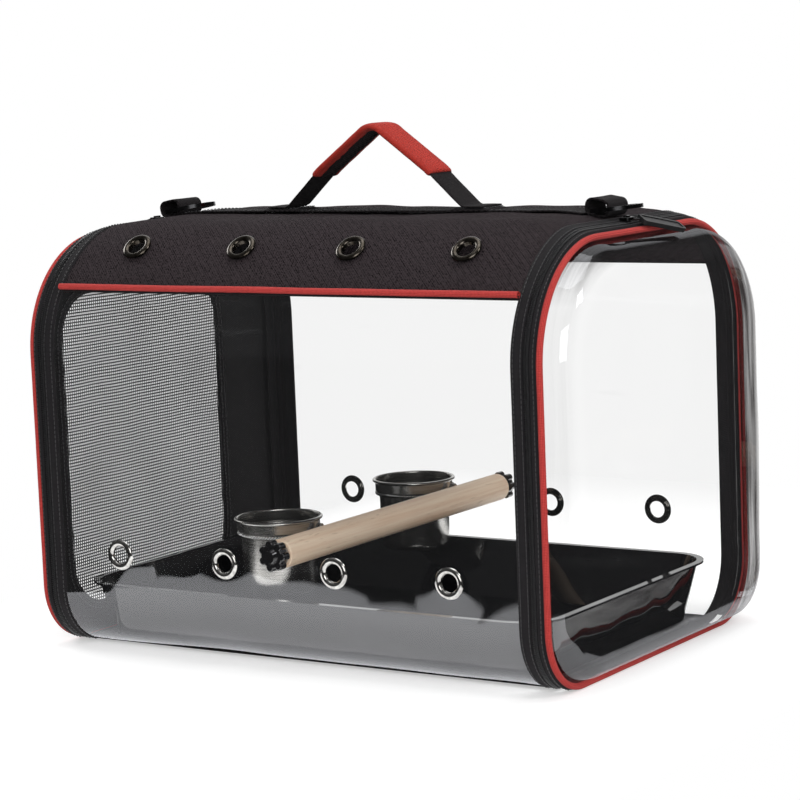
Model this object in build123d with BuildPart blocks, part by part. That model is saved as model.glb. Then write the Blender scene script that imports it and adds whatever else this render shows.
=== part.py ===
"""Soft-sided travel carrier for a large bird, built as separate pieces. Millimetres, +Z up.

X runs along the bag, the clear front window faces -Y, and the origin lies on the floor below the middle of the bag.
"""

import os
from math import asin, cos, degrees, radians, sin

from build123d import *

os.makedirs("parts", exist_ok=True)

# Bag body
length = 570.0  # between the planes of the two end pipings
width = 404.0
height = 404.0  # to the top of the end pipings
bottom_radius = 62.0
top_radius = 112.0
seam_drop = 48.0  # from the top of the end pipings down to the red seam between window and top cover
crown = 14.0  # how far the top cover puffs up above the end pipings
crown_run = 90.0  # distance from an end over which the crown rises
fabric = 2.0
vinyl = 1.0
piping_radius = 3.0
seat_gap = 0.1  # between pieces that are sewn or pressed together
moving_gap = 0.3  # between pieces that move against each other

# End zips and gussets, each a strip around the bag
gusset_width = 6.0
zip_start = 22.0  # degrees round the bottom corners, where both halves of a zip end
chain_width = 2.7
chain_proud = 1.0
chain_thickness = 2.8
band_width = 12.0

# Bottom and tray
board_thickness = 2.5
board_margin = 5.0
tray_end_gap = 35.0  # from the planes of the end pipings to the floor of the tray
tray_side_gap = 52.0  # from the windows to the floor of the tray
tray_height = 58.0
tray_flare = 12.0
tray_side_flare = 22.0
tray_wall = 2.0
tray_corner = 28.0
tray_lip = 5.0

# Doors
dome_depth = 28.0
dome_draft = 10.0
dome_round = 22.0
door_cloth = 1.6
mesh_thickness = 0.8
mesh_front = -157.0  # edges of the mesh window across the left door
mesh_back = 100.0
mesh_bottom = 30.0
mesh_top = 345.0
mesh_corner = 45.0

# Grommets
grommet_pitch = 124.5
grommet_count = 4
grommet_height = 100.0  # centres of the window grommets above the floor
grommet_place = 0.42  # where the top grommets sit between seam and crown
grommet_bore = 8.5
grommet_flange = 15.0
grommet_rise = 2.2
grommet_wall = 1.0
washer_thickness = 0.8

# Perch
perch_radius = 14.0
perch_height = 113.0
stud_radius = 3.0
stud_depth = 24.0
stud_clearance = 0.06
stud_end_gap = 1.0
perch_chamfer = 1.0
knob_lobes = 7
knob_lobe_radius = 3.9
knob_lobe_circle = 11.1
knob_core_radius = 11.7
knob_thickness = 9.0
knob_rounding = 1.2
knob_hub_radius = 7.5
knob_hub_height = 4.0
knob_hub_taper = 25.0
perch_washer_radius = 11.0

# Bowls
bowl_x = -62.0
bowl_front_gap = 21.8  # from the body of a bowl to the tray's wall
bowl_back_gap = 1.8
bowl_rim_height = 131.0
bowl_rim_radius = 43.0
bowl_depth = 74.0
bowl_radius = 36.2
bowl_neck_radius = 40.2
bowl_neck = 12.0
bowl_shoulder = 1.0
bowl_draft = 1.0
bowl_foot_round = 8.0
bowl_wall = 0.9
bowl_bead = 1.6
ring_wire = 2.0
ring_clearance = 0.5
clamp_stud_radius = 2.0
clamp_stud_depth = 8.0
wing_hub = 5.5
wing_span = 22.0
wing_thickness = 5.0
wing_turn = 55.0

# Handle
strap_width = 38.0
strap_thickness = 2.5
foot_x = 99.0  # where each leg leaves the top
foot_length = 42.0
foot_thickness = 3.4
foot_margin = 1.0  # of the foot beside the strap
foot_corner = 3.0
leg_overrun = 2.0  # of the strap past the place where it leaves its foot
grip_end_x = 62.0
grip_end_rise = 43.0
apex_rise = 81.0
apex_bend = 46.0
leg_bend = 40.0
grip_thickness = 8.0
grip_overhang = 2.0
grip_end_cut = 6.0  # of the wrap past the bends at its ends

# D-rings and their loops
loop_end_gap = 39.0  # from the plane of the end piping to the middle of a loop
loop_width = 25.0
loop_height = 17.0
loop_wall = 2.0
loop_corner = 7.1
ring_bar = 5.0
ring_thickness = 3.6
ring_arm = 12.5
left_ring_tilt = 10.0
right_ring_tilt = 5.0

# Zip sliders and pulls
slider_y = -8.0
slider_width = 11.0
slider_length = 14.0
slider_height = 3.0
slider_corner = 3.0
slider_rounding = 1.0
bridge_length = 9.8
bridge_width = 3.0
bridge_height = 1.4
tab_length = 54.0
tab_width = 14.0
tab_thickness = 4.4
tab_border = 2.2
tab_recess = 0.8
tab_corner = 3.0
tab_recess_corner = 1.5
link_wire = 0.9
right_pull_reach = (6.5, 4.0, -0.6)  # from the slider's eye to the near end of the tab
right_pull_heading = (16, 49, -11)
right_pull_facing = (0.5, 0, 0.85)
left_pull_drop = 4.0  # from the slider's eye down to the near end of the tab
left_pull_heading = (0, 0.05, -1)
left_pull_facing = (-1, 0, 0)

# Places worked out from the sizes above
half_length = length / 2
half_width = width / 2
floor_half = half_width - bottom_radius
top_half = half_width - top_radius
shoulder_height = height - top_radius
seam_height = height - seam_drop
loop_x = half_length - loop_end_gap
gusset_out = half_length - piping_radius - seat_gap
gusset_in = gusset_out - gusset_width
door_chain_in = gusset_in - seat_gap - chain_width
body_chain_out = door_chain_in - moving_gap
body_chain_in = body_chain_out - chain_width
band_out = body_chain_in - seat_gap
band_in = band_out - band_width
hinge_height = piping_radius + 2 * seat_gap
panel_inset = 2 * piping_radius + 4 * seat_gap
bottom_out = gusset_in - 3 * moving_gap
crown_height = height + crown
tray_floor = fabric + board_thickness + 2 * seat_gap
tray_length = length - 2 * tray_end_gap
tray_width = width - 2 * tray_side_gap
tray_side = tray_width / 2 + tray_side_flare - tray_wall
tray_rim = tray_floor + tray_height
grommet_xs = [(i - (grommet_count - 1) / 2) * grommet_pitch for i in range(grommet_count)]
foot_top = crown_height + seat_gap + foot_thickness
handle_pivot = foot_top + moving_gap + strap_width / 2
perch_end = half_width - vinyl - fabric - seat_gap
knob_seat = half_width + washer_thickness + seat_gap + moving_gap
bowl_front_y = bowl_radius + bowl_front_gap - tray_side
bowl_back_y = tray_side - bowl_back_gap - bowl_radius
ring_height = bowl_rim_height - bowl_neck - bowl_shoulder / 2 - ring_wire - moving_gap
ring_radius = bowl_radius + ring_clearance + ring_wire


def rise(x):
    """Height of the crowned top above the end pipings at a station along the bag."""
    ramp = max(0.0, abs(x) - (half_length - crown_run)) / crown_run
    return crown * (1 - ramp**2)


def seam_angle(inset):
    """Angle round the shoulder at which the window meets the top cover."""
    return degrees(asin((seam_height - shoulder_height) / (top_radius - inset)))


def lower_curve(inset, start=0.0):
    """Half of the bag's outline round the side to the red seam, from an angle past the floor."""
    corner = CenterArc((floor_half, bottom_radius), bottom_radius - inset, start - 90, 90 - start)
    shoulder = CenterArc((top_half, shoulder_height), top_radius - inset, 0, seam_angle(inset))
    Line(corner @ 1, shoulder @ 0)
    return corner @ 0, shoulder @ 1


def upper_curve(puff, inset):
    """Half of the outline from the red seam up to the middle of the crowned top."""
    turn = radians(seam_angle(inset))
    reach = top_radius - inset
    seam = (top_half + reach * cos(turn), shoulder_height + reach * sin(turn))
    crest = (top_half, height + puff - inset)
    curve = Spline(seam, crest, tangents=[(-sin(turn), cos(turn)), (-1, 0)])
    Line(crest, (0, crest[1]))
    return curve


def arch(puff, outer, inner, start=0.0):
    """Closed band over both sides and the top, from one bottom corner to the other."""
    with BuildSketch() as band:
        with BuildLine():
            feet = []
            for inset in (outer, inner):
                feet.append(lower_curve(inset, start)[0])
                upper_curve(puff, inset)
            Line(*feet)
            mirror(about=Plane.YZ)
        make_face()
    return band.sketch


def cover(puff, outer, inner):
    """Closed band of the top cover alone, from seam to seam."""
    with BuildSketch() as band:
        with BuildLine():
            Line(*[upper_curve(puff, inset) @ 0 for inset in (outer, inner)])
            mirror(about=Plane.YZ)
        make_face()
    return band.sketch


def end_curve(inset):
    """The plain rounded outline of a bag end."""
    bottom, side, top = 2 * floor_half, shoulder_height - bottom_radius, 2 * top_half
    low, high = bottom_radius - inset, top_radius - inset
    for mirrored in (1, -1):
        CenterArc((mirrored * floor_half, bottom_radius), low, -90, mirrored * 90)
        CenterArc((mirrored * top_half, shoulder_height), high, 90, -mirrored * 90)
        edge = mirrored * (half_width - inset)
        Line((edge, bottom_radius), (edge, bottom_radius + side))
    Line((-bottom / 2, inset), (bottom / 2, inset))
    Line((-top / 2, height - inset), (top / 2, height - inset))


def end_face(inset):
    """The flat area inside a bag end's outline."""
    with BuildSketch() as area:
        with BuildLine():
            end_curve(inset)
        make_face()
    return area.sketch


def save(piece, name):
    piece.part.label = name
    export_step(piece.part, f"parts/{name}.step")


# Top cover: padded cloth, flat along the middle of the bag and falling to the end pipings
crown_end = half_length - crown_run
ramp_stations = [crown_end + (band_in - crown_end) * i / 3 for i in range(4)]

with BuildLine(Plane.YZ) as crown_line:
    front_curve = upper_curve(crown, 0)
grommet_point = front_curve @ grommet_place
grommet_slope = front_curve % grommet_place
grommet_normal = Vector(0, grommet_slope.Z, -grommet_slope.Y)


def top_plane(x, side):
    """Plane lying on the crowned cover at a top grommet, its normal pointing out."""
    place = (x, side * grommet_point.Y, grommet_point.Z)
    return Plane(origin=place, x_dir=(1, 0, 0), z_dir=(0, side * grommet_normal.Y, grommet_normal.Z))


def window_plane(x, side):
    """Plane lying on a window at a window grommet, its normal pointing out."""
    return Plane(origin=(x, side * half_width, grommet_height), x_dir=(1, 0, 0), z_dir=(0, side, 0))


with BuildPart() as top_cover:
    with BuildSketch(Plane.YZ):
        add(cover(crown, 0, fabric))
    extrude(amount=crown_end, both=True)
    for side in (1, -1):
        for x in ramp_stations:
            with BuildSketch(Plane.YZ.offset(side * x)):
                add(cover(rise(x), 0, fabric))
        loft()
    for x in grommet_xs:
        for side in (1, -1):
            with BuildSketch(top_plane(x, side)):
                Circle(grommet_bore + grommet_wall + seat_gap)
            extrude(amount=4 * fabric, both=True, mode=Mode.SUBTRACT)
save(top_cover, "top_cover")


# Clear windows: one sheet each, down from the seam and round under the bottom edge
def window(side, name):
    with BuildPart() as sheet:
        with BuildSketch(Plane.YZ):
            with BuildLine():
                low_ends, high_ends = zip(*[lower_curve(inset) for inset in (0, vinyl)])
                Line(*low_ends)
                Line(*high_ends)
                if side < 0:
                    mirror(about=Plane.YZ, mode=Mode.REPLACE)
            make_face()
        extrude(amount=band_in, both=True)
        for x in grommet_xs:
            with BuildSketch(window_plane(x, side)):
                Circle(grommet_bore + grommet_wall + seat_gap)
            extrude(amount=4 * vinyl, both=True, mode=Mode.SUBTRACT)
        with BuildSketch(Plane(origin=(0, side * half_width, perch_height), z_dir=(0, side, 0))):
            Circle(stud_radius + moving_gap)
        extrude(amount=4 * vinyl, both=True, mode=Mode.SUBTRACT)
    save(sheet, name)


window(-1, "front_window")
window(1, "back_window")


# Red seam piping between windows and top cover
def seam_piping(side, name):
    turn = radians(seam_angle(0))
    reach = top_radius + piping_radius + seat_gap
    y = side * (top_half + reach * cos(turn))
    z = shoulder_height + reach * sin(turn)
    with BuildPart() as rod:
        with BuildSketch(Plane(origin=(0, y, z), z_dir=(1, 0, 0))):
            Circle(piping_radius)
        extrude(amount=band_out, both=True)
    save(rod, name)


seam_piping(-1, "front_seam_piping")
seam_piping(1, "back_seam_piping")


# Grommets: an eyelet pressed through the sheet, its flange domed outside, and a washer turned over behind it
def grommets(plane_at, back, name):
    """Eight grommets whose washers lie at the depth back behind the outer face."""
    barrel = grommet_bore + grommet_wall
    mid_flange = (barrel + grommet_flange) / 2
    with BuildPart() as group:
        for x in grommet_xs:
            for side in (1, -1):
                face = plane_at(x, side)
                cut = Plane(origin=face.origin, x_dir=face.x_dir, z_dir=face.x_dir.cross(face.z_dir))
                with BuildSketch(cut):
                    with BuildLine():
                        Polyline((barrel, seat_gap), (barrel, -back), (mid_flange, -back),
                                 (mid_flange, -back - washer_thickness), (grommet_bore, -back - washer_thickness),
                                 (grommet_bore, seat_gap))
                        ThreePointArc((grommet_bore, seat_gap), ((grommet_bore + grommet_flange) / 2, grommet_rise),
                                      (grommet_flange, seat_gap))
                        Line((grommet_flange, seat_gap), (barrel, seat_gap))
                    make_face()
                revolve(axis=Axis(face.origin, face.z_dir))
    save(group, name)


sag = grommet_flange**2 / (2 * top_radius)
grommets(top_plane, fabric + sag, "top_grommets")
grommets(window_plane, vinyl + seat_gap, "window_grommets")


# Bottom cloth, the stiffening board on it and the drip tray on the board
with BuildPart() as bottom_panel:
    with BuildSketch():
        Rectangle(2 * bottom_out, 2 * (floor_half - seat_gap))
    extrude(amount=fabric)
save(bottom_panel, "bottom_panel")

with BuildPart() as base_board:
    with BuildSketch(Plane.XY.offset(fabric + seat_gap)):
        RectangleRounded(2 * (band_in - seat_gap), 2 * (floor_half - board_margin), tray_corner / 2)
    extrude(amount=board_thickness)
save(base_board, "base_board")

with BuildPart() as drip_tray:
    for inset, low in ((0, tray_floor), (tray_wall, tray_floor + tray_wall)):
        with BuildSketch(Plane.XY.offset(low)):
            RectangleRounded(tray_length - 2 * inset, tray_width - 2 * inset, tray_corner - inset)
        with BuildSketch(Plane.XY.offset(tray_rim)):
            RectangleRounded(tray_length + 2 * (tray_flare - inset), tray_width + 2 * (tray_side_flare - inset),
                             tray_corner + tray_flare - inset)
        loft(mode=Mode.ADD if inset == 0 else Mode.SUBTRACT)
    with BuildSketch(Plane.XY.offset(tray_rim - tray_wall)):
        RectangleRounded(tray_length + 2 * (tray_flare + tray_lip), tray_width + 2 * (tray_side_flare + tray_lip),
                         tray_corner + tray_flare + tray_lip)
        RectangleRounded(tray_length + 2 * (tray_flare - tray_wall), tray_width + 2 * (tray_side_flare - tray_wall),
                         tray_corner + tray_flare - tray_wall, mode=Mode.SUBTRACT)
    extrude(amount=tray_wall)
save(drip_tray, "drip_tray")


# Strips around each end: woven band and the two halves of the coil zip
def around(side, near, far, outer, inner, start, name):
    """A strip over the sides and top of the bag between two stations."""
    with BuildPart() as strip:
        for x in (near, far):
            with BuildSketch(Plane.YZ.offset(side * x)):
                add(arch(rise(x), outer, inner, start))
        loft()
    save(strip, name)


# End doors: gusset round the opening, half the zip, red piping at the corner
def door_frame(side, prefix):
    with BuildPart() as gusset:
        puff = rise((gusset_in + gusset_out) / 2)
        with BuildSketch(Plane.YZ.offset(side * gusset_in)):
            add(arch(puff, 0, fabric))
            with Locations((0, fabric / 2)):
                Rectangle(2 * floor_half, fabric)
        extrude(amount=side * gusset_width)
    save(gusset, f"{prefix}_door_gusset")
    with BuildPart() as piping:
        with BuildSketch(Plane.XZ):
            with Locations((side * half_length, hinge_height)):
                Circle(piping_radius)
        with BuildLine(Plane.YZ.offset(side * half_length)) as corner:
            end_curve(hinge_height)
        sweep(path=Wire(corner.edges()))
    save(piping, f"{prefix}_door_piping")


for side, prefix in ((1, "right"), (-1, "left")):
    around(side, band_in, band_out, 0, fabric, 0, f"{prefix}_end_band")
    chain = (-chain_proud, chain_thickness - chain_proud, zip_start)
    around(side, body_chain_in, body_chain_out, *chain, f"{prefix}_body_zip_chain")
    around(side, door_chain_in, gusset_in - seat_gap, *chain, f"{prefix}_door_zip_chain")
    door_frame(side, prefix)


# Right door: one clear sheet formed into a shallow dome
def dome(inset, base, depth, rounding):
    """Solid of the dome's shape on the door's plane."""
    with BuildPart() as form:
        for x, draft in ((base, 0), (base + depth, dome_draft)):
            with BuildSketch(Plane.YZ.offset(x)):
                add(end_face(panel_inset + inset + draft))
        loft()
        fillet(form.edges().group_by(Axis.X)[-1], rounding)
    return form.part


with BuildPart() as right_door_panel:
    add(dome(0, half_length, dome_depth, dome_round))
    add(dome(vinyl, half_length, dome_depth - vinyl, dome_round - vinyl), mode=Mode.SUBTRACT)
save(right_door_panel, "right_door_panel")


# Left door: cloth border with a mesh window sewn into it
def mesh_window():
    with BuildSketch() as opening:
        with Locations(((mesh_front + mesh_back) / 2, (mesh_bottom + mesh_top) / 2)):
            RectangleRounded(mesh_back - mesh_front, mesh_top - mesh_bottom, mesh_corner)
    return opening.sketch


with BuildPart() as left_door_border:
    with BuildSketch(Plane.YZ.offset(-half_length)):
        add(end_face(panel_inset))
        add(mesh_window(), mode=Mode.SUBTRACT)
    extrude(amount=door_cloth / 2, both=True)
save(left_door_border, "left_door_border")

with BuildPart() as left_door_mesh:
    with BuildSketch(Plane.YZ.offset(-half_length)):
        add(mesh_window())
    extrude(amount=mesh_thickness / 2, both=True)
save(left_door_mesh, "left_door_mesh")


# Perch: a dowel across the bag, held at each end by a knob whose stud passes through the window
with BuildPart() as perch_dowel:
    with BuildSketch(Plane.XZ):
        with Locations((0, perch_height)):
            Circle(perch_radius)
    extrude(amount=perch_end, both=True)
    chamfer(perch_dowel.edges().filter_by(GeomType.CIRCLE), perch_chamfer)
    for side in (1, -1):
        with BuildSketch(Plane(origin=(0, side * perch_end, perch_height), z_dir=(0, side, 0))):
            Circle(stud_radius + stud_clearance)
        extrude(amount=-(stud_depth + stud_end_gap), mode=Mode.SUBTRACT)
    with BuildSketch(Plane.YZ.offset(-perch_radius)):
        with Locations((bowl_front_y, ring_height), (bowl_back_y, ring_height)):
            Circle(clamp_stud_radius + stud_clearance)
    extrude(amount=clamp_stud_depth, mode=Mode.SUBTRACT)
save(perch_dowel, "perch_dowel")

with BuildPart() as perch_washers:
    for side in (1, -1):
        for y, thickness in ((perch_end, fabric - seat_gap), (half_width + seat_gap, washer_thickness)):
            with BuildSketch(Plane(origin=(0, side * y, perch_height), z_dir=(0, side, 0))):
                Circle(perch_washer_radius)
                Circle(stud_radius + moving_gap, mode=Mode.SUBTRACT)
            extrude(amount=thickness)
save(perch_washers, "perch_washers")


def perch_knob(side, name):
    """Star knob moulded over the head of its stud."""
    with BuildPart() as knob:
        face = Plane(origin=(0, side * knob_seat, perch_height), x_dir=(1, 0, 0), z_dir=(0, side, 0))
        with BuildSketch(face):
            Circle(knob_core_radius)
            with PolarLocations(knob_lobe_circle, knob_lobes):
                Circle(knob_lobe_radius)
        extrude(amount=knob_thickness)
        fillet(knob.edges().filter_by(Axis.Y, reverse=True).group_by(Axis.Y)[-1 if side > 0 else 0], knob_rounding)
        with BuildSketch(face.offset(knob_thickness)):
            Circle(knob_hub_radius)
        extrude(amount=knob_hub_height, taper=knob_hub_taper)
        with BuildSketch(face):
            Circle(stud_radius)
        extrude(amount=-(knob_seat - perch_end + stud_depth))
    save(knob, name)


perch_knob(-1, "front_perch_knob")
perch_knob(1, "back_perch_knob")


# Bowls: a spun steel cup whose shoulder rests in a wire ring screwed to the side of the perch
def bowl(y, name):
    with BuildPart() as cup:
        with BuildSketch(Plane(origin=(bowl_x, y, bowl_rim_height), x_dir=(1, 0, 0), z_dir=(0, -1, 0))):
            with BuildLine() as wall:
                Polyline((0, -bowl_depth), (bowl_radius - bowl_draft, -bowl_depth), (bowl_radius, -bowl_neck - bowl_shoulder),
                         (bowl_neck_radius, -bowl_neck), (bowl_neck_radius, -bowl_bead), (0, -bowl_bead),
                         close=True)
            make_face()
            corner = vertices().sort_by(Axis.Y).group_by(Axis.Y)[0].sort_by(Axis.X)[-1]
            fillet(corner, bowl_foot_round)
        revolve(axis=Axis((bowl_x, y, 0), (0, 0, 1)))
        offset(amount=-bowl_wall, openings=cup.faces().sort_by(Axis.Z)[-1])
        with BuildSketch(Plane(origin=(bowl_x, y, bowl_rim_height - bowl_bead), x_dir=(1, 0, 0), z_dir=(0, -1, 0))):
            with Locations((bowl_rim_radius - bowl_bead, 0)):
                Circle(bowl_bead)
        revolve(axis=Axis((bowl_x, y, 0), (0, 0, 1)))
    save(cup, name)


def bowl_ring(y, name):
    """Wire ring with the threaded stud that goes into the perch."""
    with BuildPart() as ring:
        with BuildSketch(Plane(origin=(bowl_x, y, ring_height), x_dir=(1, 0, 0), z_dir=(0, -1, 0))):
            with Locations((ring_radius, 0)):
                Circle(ring_wire)
        revolve(axis=Axis((bowl_x, y, 0), (0, 0, 1)))
        with BuildSketch(Plane.YZ.offset(bowl_x + ring_radius)):
            with Locations((y, ring_height)):
                Circle(clamp_stud_radius)
        extrude(amount=clamp_stud_depth - perch_radius - stud_end_gap - bowl_x - ring_radius)
    save(ring, name)


for y, place in ((bowl_front_y, "front"), (bowl_back_y, "back")):
    bowl(y, f"{place}_bowl")
    bowl_ring(y, f"{place}_bowl_ring")

with BuildPart() as bowl_wing_nuts:
    for y in (bowl_front_y, bowl_back_y):
        with BuildSketch(Plane.YZ.offset(-perch_radius - seat_gap)):
            with Locations((y, ring_height)):
                Circle(wing_hub)
                SlotOverall(wing_span, wing_hub, rotation=wing_turn)
                Circle(clamp_stud_radius + stud_clearance, mode=Mode.SUBTRACT)
        extrude(amount=-wing_thickness)
save(bowl_wing_nuts, "bowl_wing_nuts")


# Handle: webbing arch on two sewn feet, with a padded wrap for the hand
with BuildPart() as handle_feet:
    for side in (1, -1):
        with BuildSketch(Plane.XY.offset(crown_height + seat_gap)):
            with Locations((side * (foot_x + foot_length / 4), 0)):
                RectangleRounded(foot_length, strap_width + 2 * foot_margin, foot_corner)
        extrude(amount=foot_thickness)
save(handle_feet, "handle_feet")


def arch_line(low, high):
    """Middle line of the handle between two heights above the crown, as a closed roof shape."""
    with BuildLine() as line:
        FilletPolyline((-foot_x - leg_overrun, low), (-grip_end_x, crown_height + grip_end_rise),
                       (0, high), (grip_end_x, crown_height + grip_end_rise), (foot_x + leg_overrun, low),
                       radius=(leg_bend, apex_bend, leg_bend))
    return line.line


with BuildPart() as handle_strap:
    with BuildSketch(Plane.XZ):
        trace(arch_line(foot_top, crown_height + apex_rise).edges(), line_width=strap_thickness)
    extrude(amount=strap_width / 2, both=True)
    with BuildSketch(Plane.YZ):
        with Locations((0, handle_pivot)):
            Circle(strap_width / 2)
        with Locations((0, handle_pivot + apex_rise)):
            Rectangle(strap_width, 2 * apex_rise)
    extrude(amount=2 * foot_x, both=True, mode=Mode.INTERSECT)
save(handle_strap, "handle_strap")

with BuildPart() as handle_grip:
    with BuildSketch(Plane.XZ):
        line = arch_line(foot_top, crown_height + apex_rise).edges()
        trace(line, line_width=grip_thickness)
    extrude(amount=strap_width / 2 + grip_overhang, both=True)
    with BuildSketch(Plane.XZ):
        trace(line, line_width=strap_thickness + 2 * seat_gap)
    extrude(amount=strap_width / 2 + seat_gap, both=True, mode=Mode.SUBTRACT)
    with Locations((0, 0, crown_height + apex_rise)):
        Box(2 * (grip_end_x + grip_end_cut), 2 * strap_width, 2 * (apex_rise - grip_end_rise + grip_end_cut),
            mode=Mode.INTERSECT)
save(handle_grip, "handle_grip")


# D-rings, each lying on the top with its bar in a folded webbing loop
loop_slope = degrees(-2 * crown * (loop_x - crown_end) / crown_run**2)
loop_seat = height + rise(loop_x) + seat_gap
bar_height = loop_seat + loop_wall + ring_bar / 2 + 4 * moving_gap


def d_ring(side, tilt, prefix):
    """Webbing loop sewn to the cover, and the ring with its curve towards +X."""
    with BuildPart() as loop:
        turn = radians(loop_slope * side)
        with BuildSketch(Plane(origin=(side * loop_x, 0, loop_seat), x_dir=(cos(turn), 0, sin(turn)),
                               z_dir=(0, -1, 0))):
            with Locations((0, loop_height / 2)):
                RectangleRounded(loop_width, loop_height, loop_corner)
                RectangleRounded(loop_width - 2 * loop_wall, loop_height - 2 * loop_wall, loop_corner - loop_wall,
                                 mode=Mode.SUBTRACT)
        extrude(amount=strap_width / 2, both=True)
    save(loop, f"{prefix}_d_ring_loop")
    with BuildPart() as ring:
        lean = radians(tilt)
        flat = Plane(origin=(side * loop_x, 0, bar_height), x_dir=(cos(lean), 0, sin(lean)),
                     z_dir=(-sin(lean), 0, cos(lean)))
        inner = strap_width / 2 + 2 * moving_gap
        with BuildSketch(flat):
            for size, start, mode in ((inner + ring_bar, -ring_bar / 2, Mode.ADD), (inner, ring_bar / 2, Mode.SUBTRACT)):
                with Locations(((start + ring_arm) / 2, 0)):
                    Rectangle(ring_arm - start, 2 * size, mode=mode)
                with Locations((ring_arm, 0)):
                    with BuildLine(mode=Mode.PRIVATE) as half:
                        CenterArc((ring_arm, 0), size, -90, 180)
                        Line((ring_arm, -size), (ring_arm, size))
                make_face(half.edges(), mode=mode)
        extrude(amount=ring_thickness / 2, both=True)
    save(ring, f"{prefix}_d_ring")


d_ring(1, right_ring_tilt, "right")
d_ring(-1, left_ring_tilt, "left")


# Zip sliders on the straight top run, each with a wire link and a moulded pull
slider_x = body_chain_out + moving_gap / 2
slider_seat = height + rise(body_chain_in) + chain_proud + moving_gap
pull_x = slider_x + slider_width / 2
pull_height = slider_seat + slider_height / 2


def zip_slider(side, prefix):
    """Slider body with the bridge that its pull hangs from."""
    with BuildPart() as slider:
        with BuildSketch(Plane.XY.offset(slider_seat)):
            with Locations((side * slider_x, slider_y)):
                RectangleRounded(slider_width, slider_length, slider_corner)
        extrude(amount=slider_height)
        fillet(slider.edges().group_by(Axis.Z)[-1], slider_rounding)
        with BuildSketch(Plane.XY.offset(slider_seat + slider_height)):
            with Locations((side * slider_x, slider_y)):
                SlotOverall(bridge_length, bridge_width, rotation=90)
        extrude(amount=bridge_height)
    save(slider, f"{prefix}_zip_slider")


def pull(side, start, heading, facing, stop, prefix):
    """Moulded tab with a raised border, hung on a wire link from the slider."""
    along = Vector(heading).normalized()
    out = (Vector(facing) - along * along.dot(Vector(facing))).normalized()
    plane = Plane(origin=start, x_dir=along, z_dir=out)
    with BuildPart() as tab:
        with BuildSketch(plane):
            with Locations((tab_length / 2, 0)):
                RectangleRounded(tab_length, tab_width, tab_corner)
        extrude(amount=tab_thickness / 2, both=True)
        with BuildSketch(plane.offset(tab_thickness / 2)):
            with Locations((tab_length / 2, 0)):
                RectangleRounded(tab_length - 2 * tab_border, tab_width - 2 * tab_border, tab_recess_corner)
        extrude(amount=-tab_recess, mode=Mode.SUBTRACT)
    save(tab, f"{prefix}_zip_pull")
    with BuildPart() as link:
        hook = Vector(side * (pull_x + link_wire + seat_gap), slider_y, pull_height)
        toward = (Vector(start) - hook)
        with BuildSketch(Plane(origin=hook, z_dir=toward.normalized())):
            Circle(link_wire)
        extrude(amount=toward.length - stop)
    save(link, f"{prefix}_zip_pull_link")


for side, prefix in ((1, "right"), (-1, "left")):
    zip_slider(side, prefix)

right_pull_start = tuple(Vector(pull_x, slider_y, pull_height) + Vector(right_pull_reach))
pull(1, right_pull_start, right_pull_heading, right_pull_facing, link_wire, "right")

left_pull_start = (-(half_length + piping_radius + tab_thickness), slider_y, pull_height - left_pull_drop)
pull(-1, left_pull_start, left_pull_heading, left_pull_facing, tab_thickness / 2 + seat_gap, "left")
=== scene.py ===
import math

import bmesh
import bpy
import numpy as np
from mathutils import Matrix, Vector, noise


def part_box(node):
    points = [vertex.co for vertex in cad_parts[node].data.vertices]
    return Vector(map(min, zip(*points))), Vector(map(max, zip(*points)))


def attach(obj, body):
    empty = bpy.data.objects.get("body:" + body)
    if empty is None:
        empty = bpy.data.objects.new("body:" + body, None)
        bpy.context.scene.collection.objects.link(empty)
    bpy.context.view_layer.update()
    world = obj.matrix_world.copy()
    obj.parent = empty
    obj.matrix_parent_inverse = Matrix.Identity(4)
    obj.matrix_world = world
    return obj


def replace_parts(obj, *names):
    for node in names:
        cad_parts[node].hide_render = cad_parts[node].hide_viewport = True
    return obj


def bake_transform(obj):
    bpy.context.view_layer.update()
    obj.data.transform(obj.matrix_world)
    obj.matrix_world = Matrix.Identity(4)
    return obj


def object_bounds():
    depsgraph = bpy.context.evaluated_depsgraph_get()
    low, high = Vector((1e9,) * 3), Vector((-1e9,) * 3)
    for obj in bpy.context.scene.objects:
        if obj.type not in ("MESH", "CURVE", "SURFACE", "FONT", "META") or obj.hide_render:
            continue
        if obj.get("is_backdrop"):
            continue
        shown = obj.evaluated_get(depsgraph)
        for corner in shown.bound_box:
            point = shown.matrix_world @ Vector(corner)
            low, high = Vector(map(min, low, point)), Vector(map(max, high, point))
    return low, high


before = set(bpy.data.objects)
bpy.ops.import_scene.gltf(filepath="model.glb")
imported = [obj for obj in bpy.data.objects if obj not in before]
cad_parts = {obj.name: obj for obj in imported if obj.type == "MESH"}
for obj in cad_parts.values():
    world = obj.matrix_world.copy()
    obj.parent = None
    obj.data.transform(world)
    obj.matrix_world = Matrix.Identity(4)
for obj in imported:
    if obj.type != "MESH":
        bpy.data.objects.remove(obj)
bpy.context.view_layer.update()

# ----------------------------------------------------------------------------------------------
# The studio: a pale paper floor that runs out to a white backdrop, lit by large soft boxes overhead,
# on the left and in front, and a small one high on the right. Shiny pieces mirror a dim room.
# ----------------------------------------------------------------------------------------------
camera_place, camera_turn, camera_dip, camera_roll = (1.4297, -2.1787, 0.5721), 0.5772, 0.1301, 0.0402


def in_scene(name, data):
    """An object with the given data, linked into the scene."""
    made = bpy.data.objects.new(name, data)
    bpy.context.scene.collection.objects.link(made)
    return made


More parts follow.
